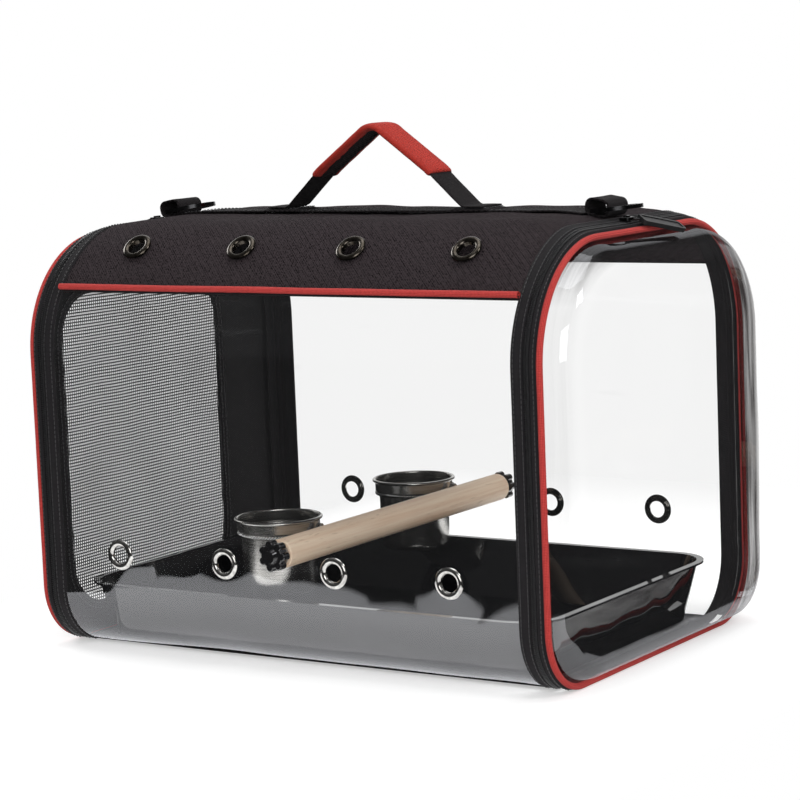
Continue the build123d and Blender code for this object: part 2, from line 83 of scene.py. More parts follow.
camera_data = bpy.data.cameras.new("camera")
camera_data.sensor_width = 36.0
camera_data.lens = 120.0
camera_data.clip_end = 60.0
camera = in_scene("camera", camera_data)
bpy.context.scene.camera = camera
camera.matrix_world = (Matrix.Translation(camera_place) @ Matrix.Rotation(camera_turn, 4, "Z")
                       @ Matrix.Rotation(math.pi / 2 - camera_dip, 4, "X")
                       @ Matrix.Rotation(-camera_roll, 4, "Z"))
bpy.context.scene.view_settings.view_transform = "Standard"


def soft_box(name, place, aim, size, power):
    """A square lamp that faces a point."""
    lamp = bpy.data.lights.new(name, "AREA")
    lamp.size, lamp.energy = size, power
    box = in_scene(name, lamp)
    box.location = place
    box.rotation_mode = "QUATERNION"
    box.rotation_quaternion = (Vector(aim) - Vector(place)).to_track_quat("-Z", "Y")


soft_box("overhead_soft_box", (0.1, 0.1, 2.4), (0, 0, 0.2), 1.6, 16)
soft_box("left_soft_box", (-2.3, 0.4, 1.3), (0, 0, 0.2), 1.1, 20)
soft_box("right_soft_box", (2.0, -0.3, 2.1), (0.1, 0, 0.2), 0.6, 9)
soft_box("front_soft_box", (1.7, -2.3, 1.1), (0, 0, 0.2), 1.5, 24)


def feed(tree, slot, value):
    """Sets an input of a node to a plain value, or links a socket to it."""
    if isinstance(value, bpy.types.NodeSocket):
        tree.links.new(value, slot)
    else:
        slot.default_value = value


def number(tree, operation, *values):
    """A Math node fed with sockets or plain numbers."""
    node = tree.nodes.new("ShaderNodeMath")
    node.operation = operation
    for slot, value in zip(node.inputs, values):
        feed(tree, slot, value)
    return node.outputs[0]


def stepped(tree, source, start, end, low=0.0, high=1.0):
    """A value that runs evenly from low to high as the source goes from start to end."""
    fade = tree.nodes.new("ShaderNodeMapRange")
    for slot, value in (("Value", source), ("From Min", start), ("From Max", end), ("To Min", low),
                        ("To Max", high)):
        feed(tree, fade.inputs[slot], value)
    return fade.outputs[0]


def blended(tree, share, first, second):
    """A number that goes from the first to the second by a share."""
    node = tree.nodes.new("ShaderNodeMix")
    for slot, value in ((0, share), (2, first), (3, second)):
        feed(tree, node.inputs[slot], value)
    return node.outputs[0]


def layered(tree, share, below, above):
    """One shader laid over another by a share."""
    node = tree.nodes.new("ShaderNodeMixShader")
    for slot, value in zip(node.inputs, (share, below, above)):
        feed(tree, slot, value)
    return node.outputs[0]


def axes(tree, vector):
    """The X, Y and Z of a vector."""
    split = tree.nodes.new("ShaderNodeSeparateXYZ")
    tree.links.new(vector, split.inputs[0])
    return split.outputs


world = bpy.data.worlds.new("white_surround")
bpy.context.scene.world = world
world.use_nodes = True
tree = world.node_tree
tree.nodes.clear()
ray = tree.nodes.new("ShaderNodeLightPath").outputs
sky = axes(tree, tree.nodes.new("ShaderNodeTexCoord").outputs["Generated"])
white_panel = number(tree, "MULTIPLY", stepped(tree, sky["Y"], 0.30, 0.42),
                     stepped(tree, sky["X"], 0.04, -0.10))
dim_room = number(tree, "MAXIMUM", white_panel, stepped(tree, sky["Z"], 0.70, 1.0, 0.08, 0.5))
light_on_pieces = 0.62
seen_straight = number(tree, "MAXIMUM", ray["Is Camera Ray"], ray["Is Transmission Ray"])
surround = tree.nodes.new("ShaderNodeBackground")
surround.inputs["Color"].default_value = (1, 1, 1, 1)
feed(tree, surround.inputs["Strength"],
     blended(tree, seen_straight, blended(tree, ray["Is Glossy Ray"], light_on_pieces, dim_room), 1.0))
tree.links.new(surround.outputs[0], tree.nodes.new("ShaderNodeOutputWorld").inputs["Surface"])

floor_mesh = bpy.data.meshes.new("paper_floor")
floor_mesh.from_pydata([(-6, -6, 0), (6, -6, 0), (6, 6, 0), (-6, 6, 0)], [], [(0, 1, 2, 3)])
in_scene("paper_floor", floor_mesh)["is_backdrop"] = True
paper = bpy.data.materials.new("white_paper")
paper.use_nodes = True
floor_mesh.materials.append(paper)
tree = paper.node_tree
tree.nodes.clear()
ray = tree.nodes.new("ShaderNodeLightPath").outputs
spot = axes(tree, tree.nodes.new("ShaderNodeNewGeometry").outputs["Position"])
away = number(tree, "MAXIMUM", *(
    number(tree, "MULTIPLY_ADD", number(tree, "ABSOLUTE", spot[axis]), weight, -half_side * weight)
    for axis, half_side, weight in (("X", 0.285, 3.6), ("Y", 0.202, 1.0))))
matte = tree.nodes.new("ShaderNodeBsdfDiffuse")
matte.inputs["Color"].default_value = (0.82, 0.82, 0.82, 1)
glow, backdrop, black_card = (tree.nodes.new("ShaderNodeEmission") for _ in range(3))
feed(tree, glow.inputs["Strength"], number(tree, "MULTIPLY_ADD", ray["Is Glossy Ray"], 0.55, 0.42))
black_card.inputs["Strength"].default_value = 0.04
lit_paper = tree.nodes.new("ShaderNodeAddShader")
tree.links.new(glow.outputs[0], lit_paper.inputs[0])
tree.links.new(matte.outputs[0], lit_paper.inputs[1])
paper_fading = layered(tree, stepped(tree, away, 0.25, 0.7), lit_paper.outputs[0], backdrop.outputs[0])
card_share = number(tree, "MULTIPLY", ray["Is Glossy Ray"], stepped(tree, away, 0.315, 0.345))
shown = layered(tree, number(tree, "MAXIMUM", ray["Is Camera Ray"], ray["Is Glossy Ray"]), matte.outputs[0],
                layered(tree, card_share, paper_fading, black_card.outputs[0]))
tree.links.new(shown, tree.nodes.new("ShaderNodeOutputMaterial").inputs["Surface"])


# ----------------------------------------------------------------------------------------------
# Top cover: a padded polyester oxford cloth in charcoal, cut to one long panel that lies over the
# arched top and is sewn into the red piping along both sides and into the woven band at each end.
# ----------------------------------------------------------------------------------------------
side_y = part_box("back_window")[1].y
shoulder_z, shoulder_round = 0.292, 0.112
seam_z, end_height, crown, crown_run, half_length = 0.356, 0.404, 0.014, 0.090, 0.285
band_in, band_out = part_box("right_end_band")[0].x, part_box("right_end_band")[1].x
seam_turn = math.asin((seam_z - shoulder_z) / shoulder_round)


def rise(x):
    """How far the top stands above the end pipings at a station along the bag."""
    return crown * (1 - np.clip((np.abs(x) - half_length + crown_run) / crown_run, 0, 1) ** 2)


def along(line):
    """The distance of each point from the start of its line."""
    return np.concatenate([[0], np.cumsum(np.linalg.norm(np.diff(line, axis=0), axis=1))])


def picked(rows, steps, at):
    """Rows of values between those that lie at the given steps, one for each distance asked for."""
    return np.stack([np.interp(at, steps, column) for column in rows.T], -1)


def outwards(line):
    """The direction square to a line in a plane, at each of its points."""
    turn = np.gradient(line, axis=0)
    return np.stack([-turn[:, 1], turn[:, 0]], -1) / np.maximum(np.linalg.norm(turn, axis=1), 1e-9)[:, None]


def spaced(line, count):
    """Points along a line of (y, z) points, evenly spaced, with their outward directions and distances."""
    steps = along(line)
    at = np.linspace(0, steps[-1], count)
    points = picked(line, steps, at)
    return points, outwards(points), at


def upper_line(puff):
    """The section of the top cover, from the front seam over the crown to the back seam."""
    start = np.array([-side_y + shoulder_round - shoulder_round * math.cos(seam_turn), seam_z])
    end = np.array([-side_y + shoulder_round, end_height + puff])
    reach = np.linalg.norm(end - start)
    first, last = np.array([math.sin(seam_turn), math.cos(seam_turn)]) * reach, np.array([1.0, 0.0]) * reach
    t = np.linspace(0, 1, 40)[:, None]
    half = ((2 * t**3 - 3 * t**2 + 1) * start + (t**3 - 2 * t**2 + t) * first
            + (3 * t**2 - 2 * t**3) * end + (t**3 - t**2) * last)
    return np.concatenate([half, half[::-1] * (-1, 1)])


def at_x(x, pairs):
    """Points at a station along the bag, from their other coordinates."""
    return np.column_stack([np.full(len(pairs), x), pairs])


def skin(name, grid, layout, cut=None):
    """A smooth mesh over rows of points. The layout is where each point lies in the flat cloth, in metres."""
    rows, columns = grid.shape[:2]
    index = np.arange(rows * columns).reshape(rows, columns)
    faces = np.stack([index[:-1, :-1], index[1:, :-1], index[1:, 1:], index[:-1, 1:]], -1).reshape(-1, 4)
    points, flat = grid.reshape(-1, 3), layout.reshape(-1, 2)
    if cut is not None:
        faces = faces[~cut(points[faces].mean(1))]
    used, faces = np.unique(faces, return_inverse=True)
    faces = faces.reshape(-1, 4)
    mesh = bpy.data.meshes.new(name)
    mesh.from_pydata(points[used].tolist(), [], faces.tolist())
    threads = mesh.uv_layers.new(name="threads")
    threads.data.foreach_set("uv", flat[used][faces.ravel()].astype(np.float32).ravel())
    mesh.shade_smooth()
    return in_scene(name, mesh)


def thicken(piece, thickness, side=-1.0):
    """Gives a piece of cloth its thickness, inwards from its face."""
    solid = piece.modifiers.new("thickness", "SOLIDIFY")
    solid.thickness, solid.offset = thickness, side
    return piece


def fitted(piece, finish, body):
    """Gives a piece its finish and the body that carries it."""
    piece.data.materials.append(finish)
    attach(piece, body)
    return piece


def ripple(points, length, seed):
    """Smooth uneven waves of the given length, from -1 to 1, at each point."""
    shift = Vector((seed * 3.1, seed * 1.7, seed * 0.9))
    waves = [noise.noise(Vector(p) / length + shift) for p in points.reshape(-1, 3)]
    return np.array(waves).reshape(points.shape[:-1])


def gap_to(points, places):
    """The distance from each point to the nearest of the places."""
    return np.min([np.linalg.norm(points - place, axis=-1) for place in places], axis=0)


def plain_finish(name, colour, rough, metallic=0.0, coat=0.0):
    """A new material with one Principled shader, as (material, node tree, shader)."""
    made = bpy.data.materials.new(name)
    made.use_nodes = True
    shader = made.node_tree.nodes["Principled BSDF"]
    shader.inputs["Base Color"].default_value = (*colour, 1)
    shader.inputs["Roughness"].default_value = rough
    shader.inputs["Metallic"].default_value = metallic
    shader.inputs["Coat Weight"].default_value = coat
    return made, made.node_tree, shader


def vector_of(tree, operation, first, second):
    """A Vector Math node fed with sockets or plain vectors."""
    node = tree.nodes.new("ShaderNodeVectorMath")
    node.operation = operation
    feed(tree, node.inputs[0], first)
    feed(tree, node.inputs[1], second)
    return node.outputs[0]


def speckle(tree, scale, stretch=(1, 1, 1), detail=2.0, vector=None):
    """Noise from 0 to 1 over a piece, or over another vector, stretched along the axes."""
    place = vector or tree.nodes.new("ShaderNodeTexCoord").outputs["Object"]
    node = tree.nodes.new("ShaderNodeTexNoise")
    node.inputs["Scale"].default_value = scale
    node.inputs["Detail"].default_value = detail
    tree.links.new(vector_of(tree, "MULTIPLY", place, stretch), node.inputs["Vector"])
    return node.outputs["Fac"]


def between(tree, factor, dark, light, low=0.0, high=1.0):
    """A colour that runs from dark to light as the factor goes from low to high."""
    ramp = tree.nodes.new("ShaderNodeValToRGB")
    for stop, place, colour in zip(ramp.color_ramp.elements, (low, high), (dark, light)):
        stop.position, stop.color = place, (*colour, 1)
    tree.links.new(factor, ramp.inputs[0])
    return ramp.outputs[0]


def raised(tree, shader, height, depth):
    """Bump on a shader, its depth in metres."""
    bump = tree.nodes.new("ShaderNodeBump")
    bump.inputs["Distance"].default_value = depth
    bump.inputs["Strength"].default_value = 1.0
    tree.links.new(height, bump.inputs["Height"])
    tree.links.new(bump.outputs[0], shader.inputs["Normal"])


def woven_finish(name, dark, light, across, along_pitch, depth, slub=0.5, rough=0.9, sheen=0.03,
                 twill=0.0, gloss=0.18):
    """Cloth woven from threads at two pitches, in metres, with uneven lighter yarns and perhaps a twill."""
    made, tree, shader = plain_finish(name, dark, rough)
    layout = tree.nodes.new("ShaderNodeUVMap")
    layout.uv_map = "threads"
    cloth = layout.outputs[0]
    flat = axes(tree, cloth)
    warp, weft = (number(tree, "SINE", number(tree, "MULTIPLY", flat[k], math.pi / pitch))
                  for k, pitch in enumerate((across, along_pitch)))
    height = number(tree, "MULTIPLY_ADD", number(tree, "MULTIPLY", warp, weft), 0.5, 0.5)
    slub_length = 9 * across
    long_yarn = speckle(tree, 1.0, (1 / slub_length, 1 / across, 1), vector=cloth)
    cross_yarn = speckle(tree, 1.0, (1 / across, 1 / slub_length, 1), vector=cloth)
    yarn = number(tree, "MULTIPLY_ADD", number(tree, "ADD", long_yarn, cross_yarn), slub,
                  number(tree, "MULTIPLY", height, 1 - slub))
    if twill:
        slant = number(tree, "ADD", flat[0], flat[1])
        rib = number(tree, "SINE", number(tree, "MULTIPLY", slant, 2 * math.pi / twill))
        broken = speckle(tree, 1 / (2.2 * twill), detail=1, vector=cloth)
        fleck = number(tree, "SUBTRACT", speckle(tree, 1 / (0.7 * twill), detail=1, vector=cloth), 0.56)
        yarn = number(tree, "MULTIPLY_ADD", number(tree, "MULTIPLY", rib, broken), 0.22, yarn)
        yarn = number(tree, "MULTIPLY_ADD", fleck, 1.1, yarn)
        height = number(tree, "MULTIPLY_ADD", rib, 0.35, height)
    tree.links.new(between(tree, yarn, dark, light, 0.40, 0.72), shader.inputs["Base Color"])
    raised(tree, shader, height, depth)
    shader.inputs["Specular IOR Level"].default_value = gloss
    shader.inputs["Sheen Weight"].default_value = sheen
    shader.inputs["Sheen Roughness"].default_value = 0.5
    return made


stations = np.linspace(-band_in, band_in, 173)
rows = [spaced(upper_line(float(rise(x))), 141) for x in stations]
grid = np.stack([at_x(x, points) for x, (points, _, _) in zip(stations, rows)])
out = np.stack([at_x(0, outward) for _, outward, _ in rows])
flat = np.stack([at_x(x, at) for x, (_, _, at) in zip(stations, rows)])
reach = flat[..., 1].max()
from_seam = np.minimum(flat[..., 1], reach - flat[..., 1])
from_end = band_in - np.abs(grid[..., 0])
eyelet_xs, top_eyelet_y, top_eyelet_hole = (-0.18675, -0.06225, 0.06225, 0.18675), 0.1515, 0.0112
top_eyelet_z = (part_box("top_grommets")[0].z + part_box("top_grommets")[1].z) / 2
top_eyelets = [(x, y, top_eyelet_z) for x in eyelet_xs for y in (-top_eyelet_y, top_eyelet_y)]
near_eyelet = gap_to(grid, top_eyelets)
calm = np.clip((near_eyelet - 0.013) / 0.03, 0, 1)
free = calm * np.clip(np.minimum(from_end, from_seam) / 0.022, 0, 1)
swell = (0.0022 * ripple(grid, 0.11, 1) + 0.0008 * ripple(grid, 0.035, 2) - 0.0012
         + 0.0016 * np.exp(-from_end / 0.07) * ripple(grid * (0.35, 1, 1), 0.026, 5)) * free
swell -= 0.0006 * np.exp(-((near_eyelet - 0.020) / 0.006) ** 2)
pucker = ripple(grid * (1, 0.25, 0.25), 0.011, 3) * np.exp(-from_seam / 0.010)
tuck = ripple(grid * (0.25, 1, 1), 0.012, 4) * np.exp(-from_end / 0.012)
swell += 0.0006 * (pucker + tuck) * calm - 0.0007 * np.exp(-np.minimum(from_seam, from_end) / 0.004)
top_cloth = thicken(skin("top_cloth", grid + out * swell[..., None], flat,
                         lambda middles: gap_to(middles, top_eyelets) < top_eyelet_hole), 0.0018)
charcoal_oxford = woven_finish("charcoal_oxford", (0.0010, 0.0006, 0.0008), (0.040, 0.0315, 0.0345), 0.0011,
                               0.0011, 0.00035, 0.55, sheen=0.005, twill=0.0030, gloss=0.04)
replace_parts(top_cloth, "top_cover")
fitted(top_cloth, charcoal_oxford, "carrier_body")


# ----------------------------------------------------------------------------------------------
# Windows: one sheet of clear soft vinyl on each long side, hung from the red seam and rolled round
# the bottom edge, where a black cloth hem joins it to the floor cloth. It lies a little wavy.
# ----------------------------------------------------------------------------------------------
def clear_finish(name, seed, gloss, edge_gloss=0.88):
    """Clear vinyl with haze, scuffs and a gloss that grows towards the edges of sight, and its clear node."""
    made, tree, shader = plain_finish(name, (0.86, 0.87, 0.88), 0.045)
    shader.inputs["Specular IOR Level"].default_value = 0.5
    scuff = stepped(tree, speckle(tree, 90, (0.12, 1, 0.5), 6), 0.64, 0.72)
    haze = stepped(tree, speckle(tree, 7 + seed, detail=3), 0.45, 0.8)
    milky = number(tree, "MULTIPLY_ADD", number(tree, "MULTIPLY", scuff, haze), 0.05, 0.004)
    edge = tree.nodes.new("ShaderNodeLayerWeight")
    edge.inputs["Blend"].default_value = 0.5
    at_edge = number(tree, "POWER", edge.outputs["Facing"], 5.0)
    shine = number(tree, "MULTIPLY_ADD", at_edge, edge_gloss, gloss)
    glossy = tree.nodes.new("ShaderNodeBsdfGlossy")
    glossy.inputs["Roughness"].default_value = 0.035
    glossy.inputs["Color"].default_value = (0.95, 0.96, 1.0, 1)
    clear = tree.nodes.new("ShaderNodeBsdfTransparent")
    clear.inputs["Color"].default_value = (0.997, 0.998, 0.997, 1)
    vinyl = layered(tree, shine, layered(tree, milky, clear.outputs[0], shader.outputs[0]), glossy.outputs[0])
    output = [node for node in tree.nodes if node.type == "OUTPUT_MATERIAL"][0]
    tree.links.new(vinyl, output.inputs["Surface"])
    return made, clear


corner_round, floor_gap, hem_reach, hem_lift = 0.062, 0.0002, 0.022, 0.0002


def arc(turn, centre, radius):
    """Points of an arc, from its angles."""
    return np.stack([centre[0] + radius * np.cos(turn), centre[1] + radius * np.sin(turn)], -1)


def lower_line():
    """The front of the bag's section, from the floor up the side to the red seam."""
    low = np.radians(np.linspace(-90, -180, 40))
    high = np.linspace(math.pi, math.pi - seam_turn, 30)
    return np.concatenate([arc(low, (-side_y + corner_round, corner_round), corner_round),
                           arc(high, (-side_y + shoulder_round, shoulder_z), shoulder_round)])


black_canvas = woven_finish("black_canvas", (0.003, 0.003, 0.0035), (0.018, 0.017, 0.018), 0.0013, 0.0013,
                            0.0003)
window_eyelet_z, window_eyelet_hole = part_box("window_grommets")[0].z + 0.015, 0.0115
window_eyelets = [(x, window_eyelet_z) for x in eyelet_xs]
perch_z = (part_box("perch_dowel")[0].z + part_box("perch_dowel")[1].z) / 2
line, out_line, at = spaced(lower_line(), 150)
for name, seed, side, gloss in (("front_window", 5, 1, 0.088), ("back_window", 8, -1, 0.012)):
    mirror = (1, side, 1)
    grid = np.stack([at_x(x, line) for x in stations]) * mirror
    out = np.stack([at_x(0, out_line)] * len(stations)) * mirror
    flat = np.stack([at_x(x, at) for x in stations])
    near = gap_to(grid[..., ::2], window_eyelets + [(0, perch_z)])
    held = np.minimum(np.minimum(flat[..., 1], at[-1] - flat[..., 1]), band_in - np.abs(grid[..., 0]))
    loose = np.clip(held / 0.05, 0, 1) * np.clip((near - 0.012) / 0.03, 0, 1)
    wave = (0.0022 * ripple(grid * (1, 1, 1.6), 0.16, seed) + 0.0007 * ripple(grid, 0.06, seed + 1)
            - 0.0012) * loose - 0.0005
    sheet = skin(f"{name}_vinyl", (grid + out * wave[..., None])[::side], flat[::side],
                 lambda middles: gap_to(middles[:, ::2], window_eyelets) < window_eyelet_hole)
    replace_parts(sheet, name)
    fitted(sheet, clear_finish(f"{name}_clear_vinyl", seed, gloss)[0], "carrier_body")
    kept = at < hem_reach
    hem_grid = (grid + hem_lift * out)[:, kept]
    hem_grid[..., 2] = np.maximum(hem_grid[..., 2], floor_gap)
    hem = thicken(skin(f"{name}_hem", hem_grid[::side], flat[:, kept][::side]), 0.0009)
    fitted(hem, black_canvas, "carrier_body")


# ----------------------------------------------------------------------------------------------
# Floor: black cloth under the bag, a stiff textured board on it and a thermoformed drip tray in
# glossy black plastic. The board and the tray lie loose in the bag.
# ----------------------------------------------------------------------------------------------
low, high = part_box("bottom_panel")
xs, ys = np.linspace(low.x, high.x, 120), np.linspace(low.y, high.y, 60)
grid = np.stack([np.column_stack([np.full(60, x), ys, np.full(60, high.z)]) for x in xs])
grid[..., 2] -= 0.0004 + 0.0003 * ripple(grid, 0.05, 11)
bottom_cloth = thicken(skin("bottom_cloth", grid[::-1], grid[::-1][..., :2]), 0.0012, 1.0)
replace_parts(bottom_cloth, "bottom_panel")
fitted(bottom_cloth, black_canvas, "carrier_body")


def dress(finish, *names):
    """Gives a finish to pieces that keep the shape they were made in."""
    for name in names:
        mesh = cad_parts[name].data
        mesh.materials.clear()
        mesh.materials.append(finish)


def mottled_finish(name, dark, light, rough, scale, detail=2.0, coat=0.0):
    """A finish whose colour wanders between two tones, as (material, node tree, shader, its noise)."""
    made, tree, shader = plain_finish(name, dark, rough, coat=coat)
    spots = speckle(tree, scale, detail=detail)
    tree.links.new(between(tree, spots, dark, light), shader.inputs["Base Color"])
    return made, tree, shader, spots


board, tree, shader, grain = mottled_finish("grained_board", (0.012, 0.012, 0.013), (0.03, 0.03, 0.031), 0.55,
                                            700, 3)
raised(tree, shader, grain, 0.0002)
dress(board, "base_board")

tray, tree, shader = plain_finish("glossy_black_tray", (0.008, 0.008, 0.009), 0.16)
scratch = speckle(tree, 60, (0.15, 2.5, 1), 8)
feed(tree, shader.inputs["Roughness"], stepped(tree, scratch, 0.60, 0.78, 0.035, 0.115))
feed(tree, shader.inputs["Base Color"],
     between(tree, scratch, (0.006, 0.006, 0.007), (0.018, 0.018, 0.019), 0.5, 0.8))
raised(tree, shader, speckle(tree, 14, detail=1), 0.0022)
dress(tray, "drip_tray")


# ----------------------------------------------------------------------------------------------
# End bands and door gussets: black woven tape, folded round the bag at each end and sewn with two
# rows of heavy black thread. The gusset is the same tape on the door's side of the zip.
# ----------------------------------------------------------------------------------------------
tape_cloth = woven_finish("black_tape", (0.003, 0.003, 0.0035), (0.020, 0.018, 0.020), 0.0016, 0.0009, 0.0004,
                          0.35)
black_thread = mottled_finish("black_thread", (0.015, 0.015, 0.016), (0.09, 0.088, 0.092), 0.45, 1500, 1)[0]


def tube_faces(rings, sides, capped=True):
    """The faces of a tube whose corners come ring by ring."""
    ring = np.arange(sides)
    onward = np.roll(ring, -1)
    quad = np.stack([ring, onward, sides + onward, sides + ring], -1)
    faces = (sides * np.arange(rings - 1)[:, None, None] + quad).reshape(-1, 4).tolist()
    return faces + [ring[::-1].tolist(), (sides * (rings - 1) + ring).tolist()] if capped else faces


def joined(name, solids, finish, body, smooth=True):
    """One piece of many small solids, each given as its corners and faces."""
    corners, faces, start = [], [], 0
    for points, made in solids:
        corners.append(points)
        faces += [[start + i for i in face] for face in made]
        start += len(points)
    mesh = bpy.data.meshes.new(name)
    mesh.from_pydata(np.concatenate(corners).tolist(), [], faces)
    if smooth:
        mesh.shade_smooth()
    return fitted(in_scene(name, mesh), finish, body)


stitch_long, stitch_gap, stitch_thick, stitch_faces = 0.0034, 0.0011, 0.00042, tube_faces(4, 6)


def stitch_row(points, outward):
    """Short raised stitches along a line of points, each as its corners and faces."""
    steps, outward = along(points), np.broadcast_to(outward, points.shape)
    ring = np.radians(np.arange(0, 360, 60))[:, None]
    row = []
    for start in np.arange(stitch_gap, steps[-1] - stitch_long, stitch_long + stitch_gap):
        span = start + stitch_long * np.array([0.0, 0.22, 0.78, 1.0])
        line, up = picked(points, steps, span), picked(outward, steps, span[1])
        up /= np.linalg.norm(up)
        across = np.cross(line[-1] - line[0], up)
        across /= max(np.linalg.norm(across), 1e-9)
        spokes = np.cos(ring) * across + np.sin(ring) * up
        rings = [point + stitch_thick * (lift * up + size * spokes)
                 for point, size, lift in zip(line, (0.35, 1.0, 1.0, 0.35), (-0.4, 0.45, 0.45, -0.4))]
        row.append((np.concatenate(rings), stitch_faces))
    return row


def whole_line(puff):
    """The section over the front, the top and the back, from floor to floor."""
    low = lower_line()
    return np.concatenate([low, upper_line(puff), low[::-1] * (-1, 1)])


def round_the_bag(x, lift, count=460):
    """Points over the sides and top at a station, with their outward directions and distances."""
    points, outward, distance = spaced(whole_line(float(rise(x))), count)
    return at_x(x, points + outward * lift), at_x(0, outward), distance


rounded_lifts = (-0.0004, 0.0001, 0.0003, 0.00035, 0.0003, 0.0001, -0.0004)


def tape_round(name, near, far, side, body, lifts=rounded_lifts):
    """Woven tape round the bag between two stations, a little rounded along both edges, and its length."""
    rows = [round_the_bag(side * x, lift) for x, lift in zip(np.linspace(near, far, 7), lifts)]
    grid = np.stack([points for points, _, _ in rows])
    grid += np.stack([outward for _, outward, _ in rows]) * (0.00012 * ripple(grid, 0.02, 21))[..., None]
    grid[..., 2] = np.maximum(grid[..., 2], floor_gap)
    flat = np.stack([at_x(k * (far - near) / 6, distance) for k, (_, _, distance) in enumerate(rows)])
    piece = thicken(skin(name, grid[::side], flat[::side]), 0.0018)
    return fitted(piece, tape_cloth, body), float(rows[3][2][-1])


def stitches_round(x):
    """A row of stitches over the sides and top at a station, stopping just above the floor."""
    points, outward, _ = round_the_bag(x, 0.0005, 900)
    kept = points[:, 2] > 0.0015
    return stitch_row(points[kept], outward[kept])


gusset_in, gusset_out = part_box("right_door_gusset")[0].x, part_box("right_door_gusset")[1].x
flange_lifts = (-0.0006, -0.0007, -0.0009, -0.0012, -0.0016, -0.0021, -0.0027)
sill_line = np.column_stack([np.linspace(-0.14, 0.14, 40), np.full(40, floor_gap)])
for side, prefix in ((1, "right"), (-1, "left")):
    door = f"{prefix}_door"
    band, around_it = tape_round(f"{prefix}_band_tape", band_in - 0.0006, band_out, side, "carrier_body")
    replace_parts(band, f"{prefix}_end_band")
    band_rows = stitches_round(side * (band_in + 0.0022)) + stitches_round(side * (band_out - 0.0020))
    joined(f"{prefix}_band_stitches", band_rows, black_thread, "carrier_body")
    gusset, _ = tape_round(f"{prefix}_gusset_tape", gusset_in, gusset_out, side, door)
    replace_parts(gusset, f"{prefix}_door_gusset")
    tape_round(f"{prefix}_piping_flange", gusset_out - 0.0012, gusset_out + 0.0030, side, door, flange_lifts)
    joined(f"{prefix}_gusset_stitches", stitches_round(side * (gusset_out - 0.0016)), black_thread, door)
    sill_grid = np.stack([at_x(side * x, sill_line) for x in np.linspace(gusset_in, gusset_out, 4)])[::side]
    sill = thicken(skin(f"{prefix}_sill_tape", sill_grid, sill_grid[..., :2]), 0.0014, 1.0)
    fitted(sill, tape_cloth, door)


# ----------------------------------------------------------------------------------------------
# Zips: coils of black nylon wire woven into a narrow tape, one half on the bag and one on the door,
# so that the turns lock into each other. They run from one bottom corner over the top to the other.
# ----------------------------------------------------------------------------------------------
coil_nylon = mottled_finish("black_nylon_coil", (0.008, 0.008, 0.009), (0.03, 0.03, 0.032), 0.26, 500)[0]
tooth_pitch, zip_foot = 0.0021, corner_round * math.radians(22)
tooth_wide, tooth_high = 0.00072, 0.00092
tooth_profile = [(-1.0, 0.25), (-0.86, 0.75), (0.3, 0.78), (0.62, 1.0), (0.92, 0.95), (1.0, 0.45)]
tooth_faces = tube_faces(6, 6, False) + [[0, 1, 2, 3, 4, 5], [35, 34, 33, 32, 31, 30]]


def zip_half(name, node, side, inner_end, offset, body):
    """Nylon turns from the tape to the middle of the zip, with rounded heads, on their strip of tape."""
    near, far = sorted(abs(corner.x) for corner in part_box(node))
    points, outward, distance = round_the_bag(side * (near + far) / 2, 0.0, 900)
    at = np.arange(zip_foot + offset * tooth_pitch, distance[-1] - zip_foot, tooth_pitch)
    place, up = picked(points, distance, at), picked(outward, distance, at)
    run, head = np.cross(up, (1.0, 0, 0)), side * inner_end * (far - near) / 2
    teeth = np.stack([place + (head * reach, 0, 0) + run * (tooth_wide * size * math.cos(angle))
                      + up * (0.00005 + tooth_high * size * math.sin(angle))
                      for reach, size in tooth_profile for angle in np.radians(np.arange(30, 390, 60))], 1)
    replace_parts(joined(name, [(tooth, tooth_faces) for tooth in teeth], coil_nylon, body), node)
    kept = (distance > zip_foot - 0.001) & (distance < distance[-1] - zip_foot + 0.001)
    strip_xs = np.linspace(near - 0.0004, far + 0.0004, 3)[::side]
    strip = np.stack([round_the_bag(side * x, -0.0012, 900)[0][kept] for x in strip_xs])
    flat = np.stack([at_x(x, distance[kept]) for x in strip_xs])
    fitted(thicken(skin(f"{name}_tape", strip, flat), 0.0006), tape_cloth, body)


for side, prefix in ((1, "right"), (-1, "left")):
    zip_half(f"{prefix}_body_coil", f"{prefix}_body_zip_chain", side, 1, 0.0, "carrier_body")
    zip_half(f"{prefix}_door_coil", f"{prefix}_door_zip_chain", side, -1, 0.5, f"{prefix}_door")


# ----------------------------------------------------------------------------------------------
# Red piping: woven bias tape wrapped round a 5 mm cord, sewn in along both window seams and round
# the face of each end door. Its flat edge shows as a thin black binding below the window seams.
# ----------------------------------------------------------------------------------------------
piping_round, binding_wide = 0.003, 0.0044
red_tape = woven_finish("red_bias_tape", (0.24, 0.014, 0.013), (0.60, 0.062, 0.055), 0.0010, 0.0010, 0.00045,
                        0.3, 0.85, 0.05)


def end_line(inset, count):
    """The rounded outline of a bag end at a distance inside it, as (y, z) points that meet at the end."""
    pieces = []
    for y, low_corner, radius, start in ((-1, True, corner_round, 270), (-1, False, shoulder_round, 180),
                                         (1, False, shoulder_round, 90), (1, True, corner_round, 0)):
        centre = (y * (side_y - radius), radius if low_corner else end_height - radius)
        pieces.append(arc(np.radians(np.linspace(start, start - 90, 40)), centre, radius - inset))
    return spaced(np.concatenate(pieces + [pieces[0][:1]]), count)[0]


def laid_flat(first, second):
    """A flat grid of two rows of distances."""
    return np.stack(np.meshgrid(first, second, indexing="ij"), -1)


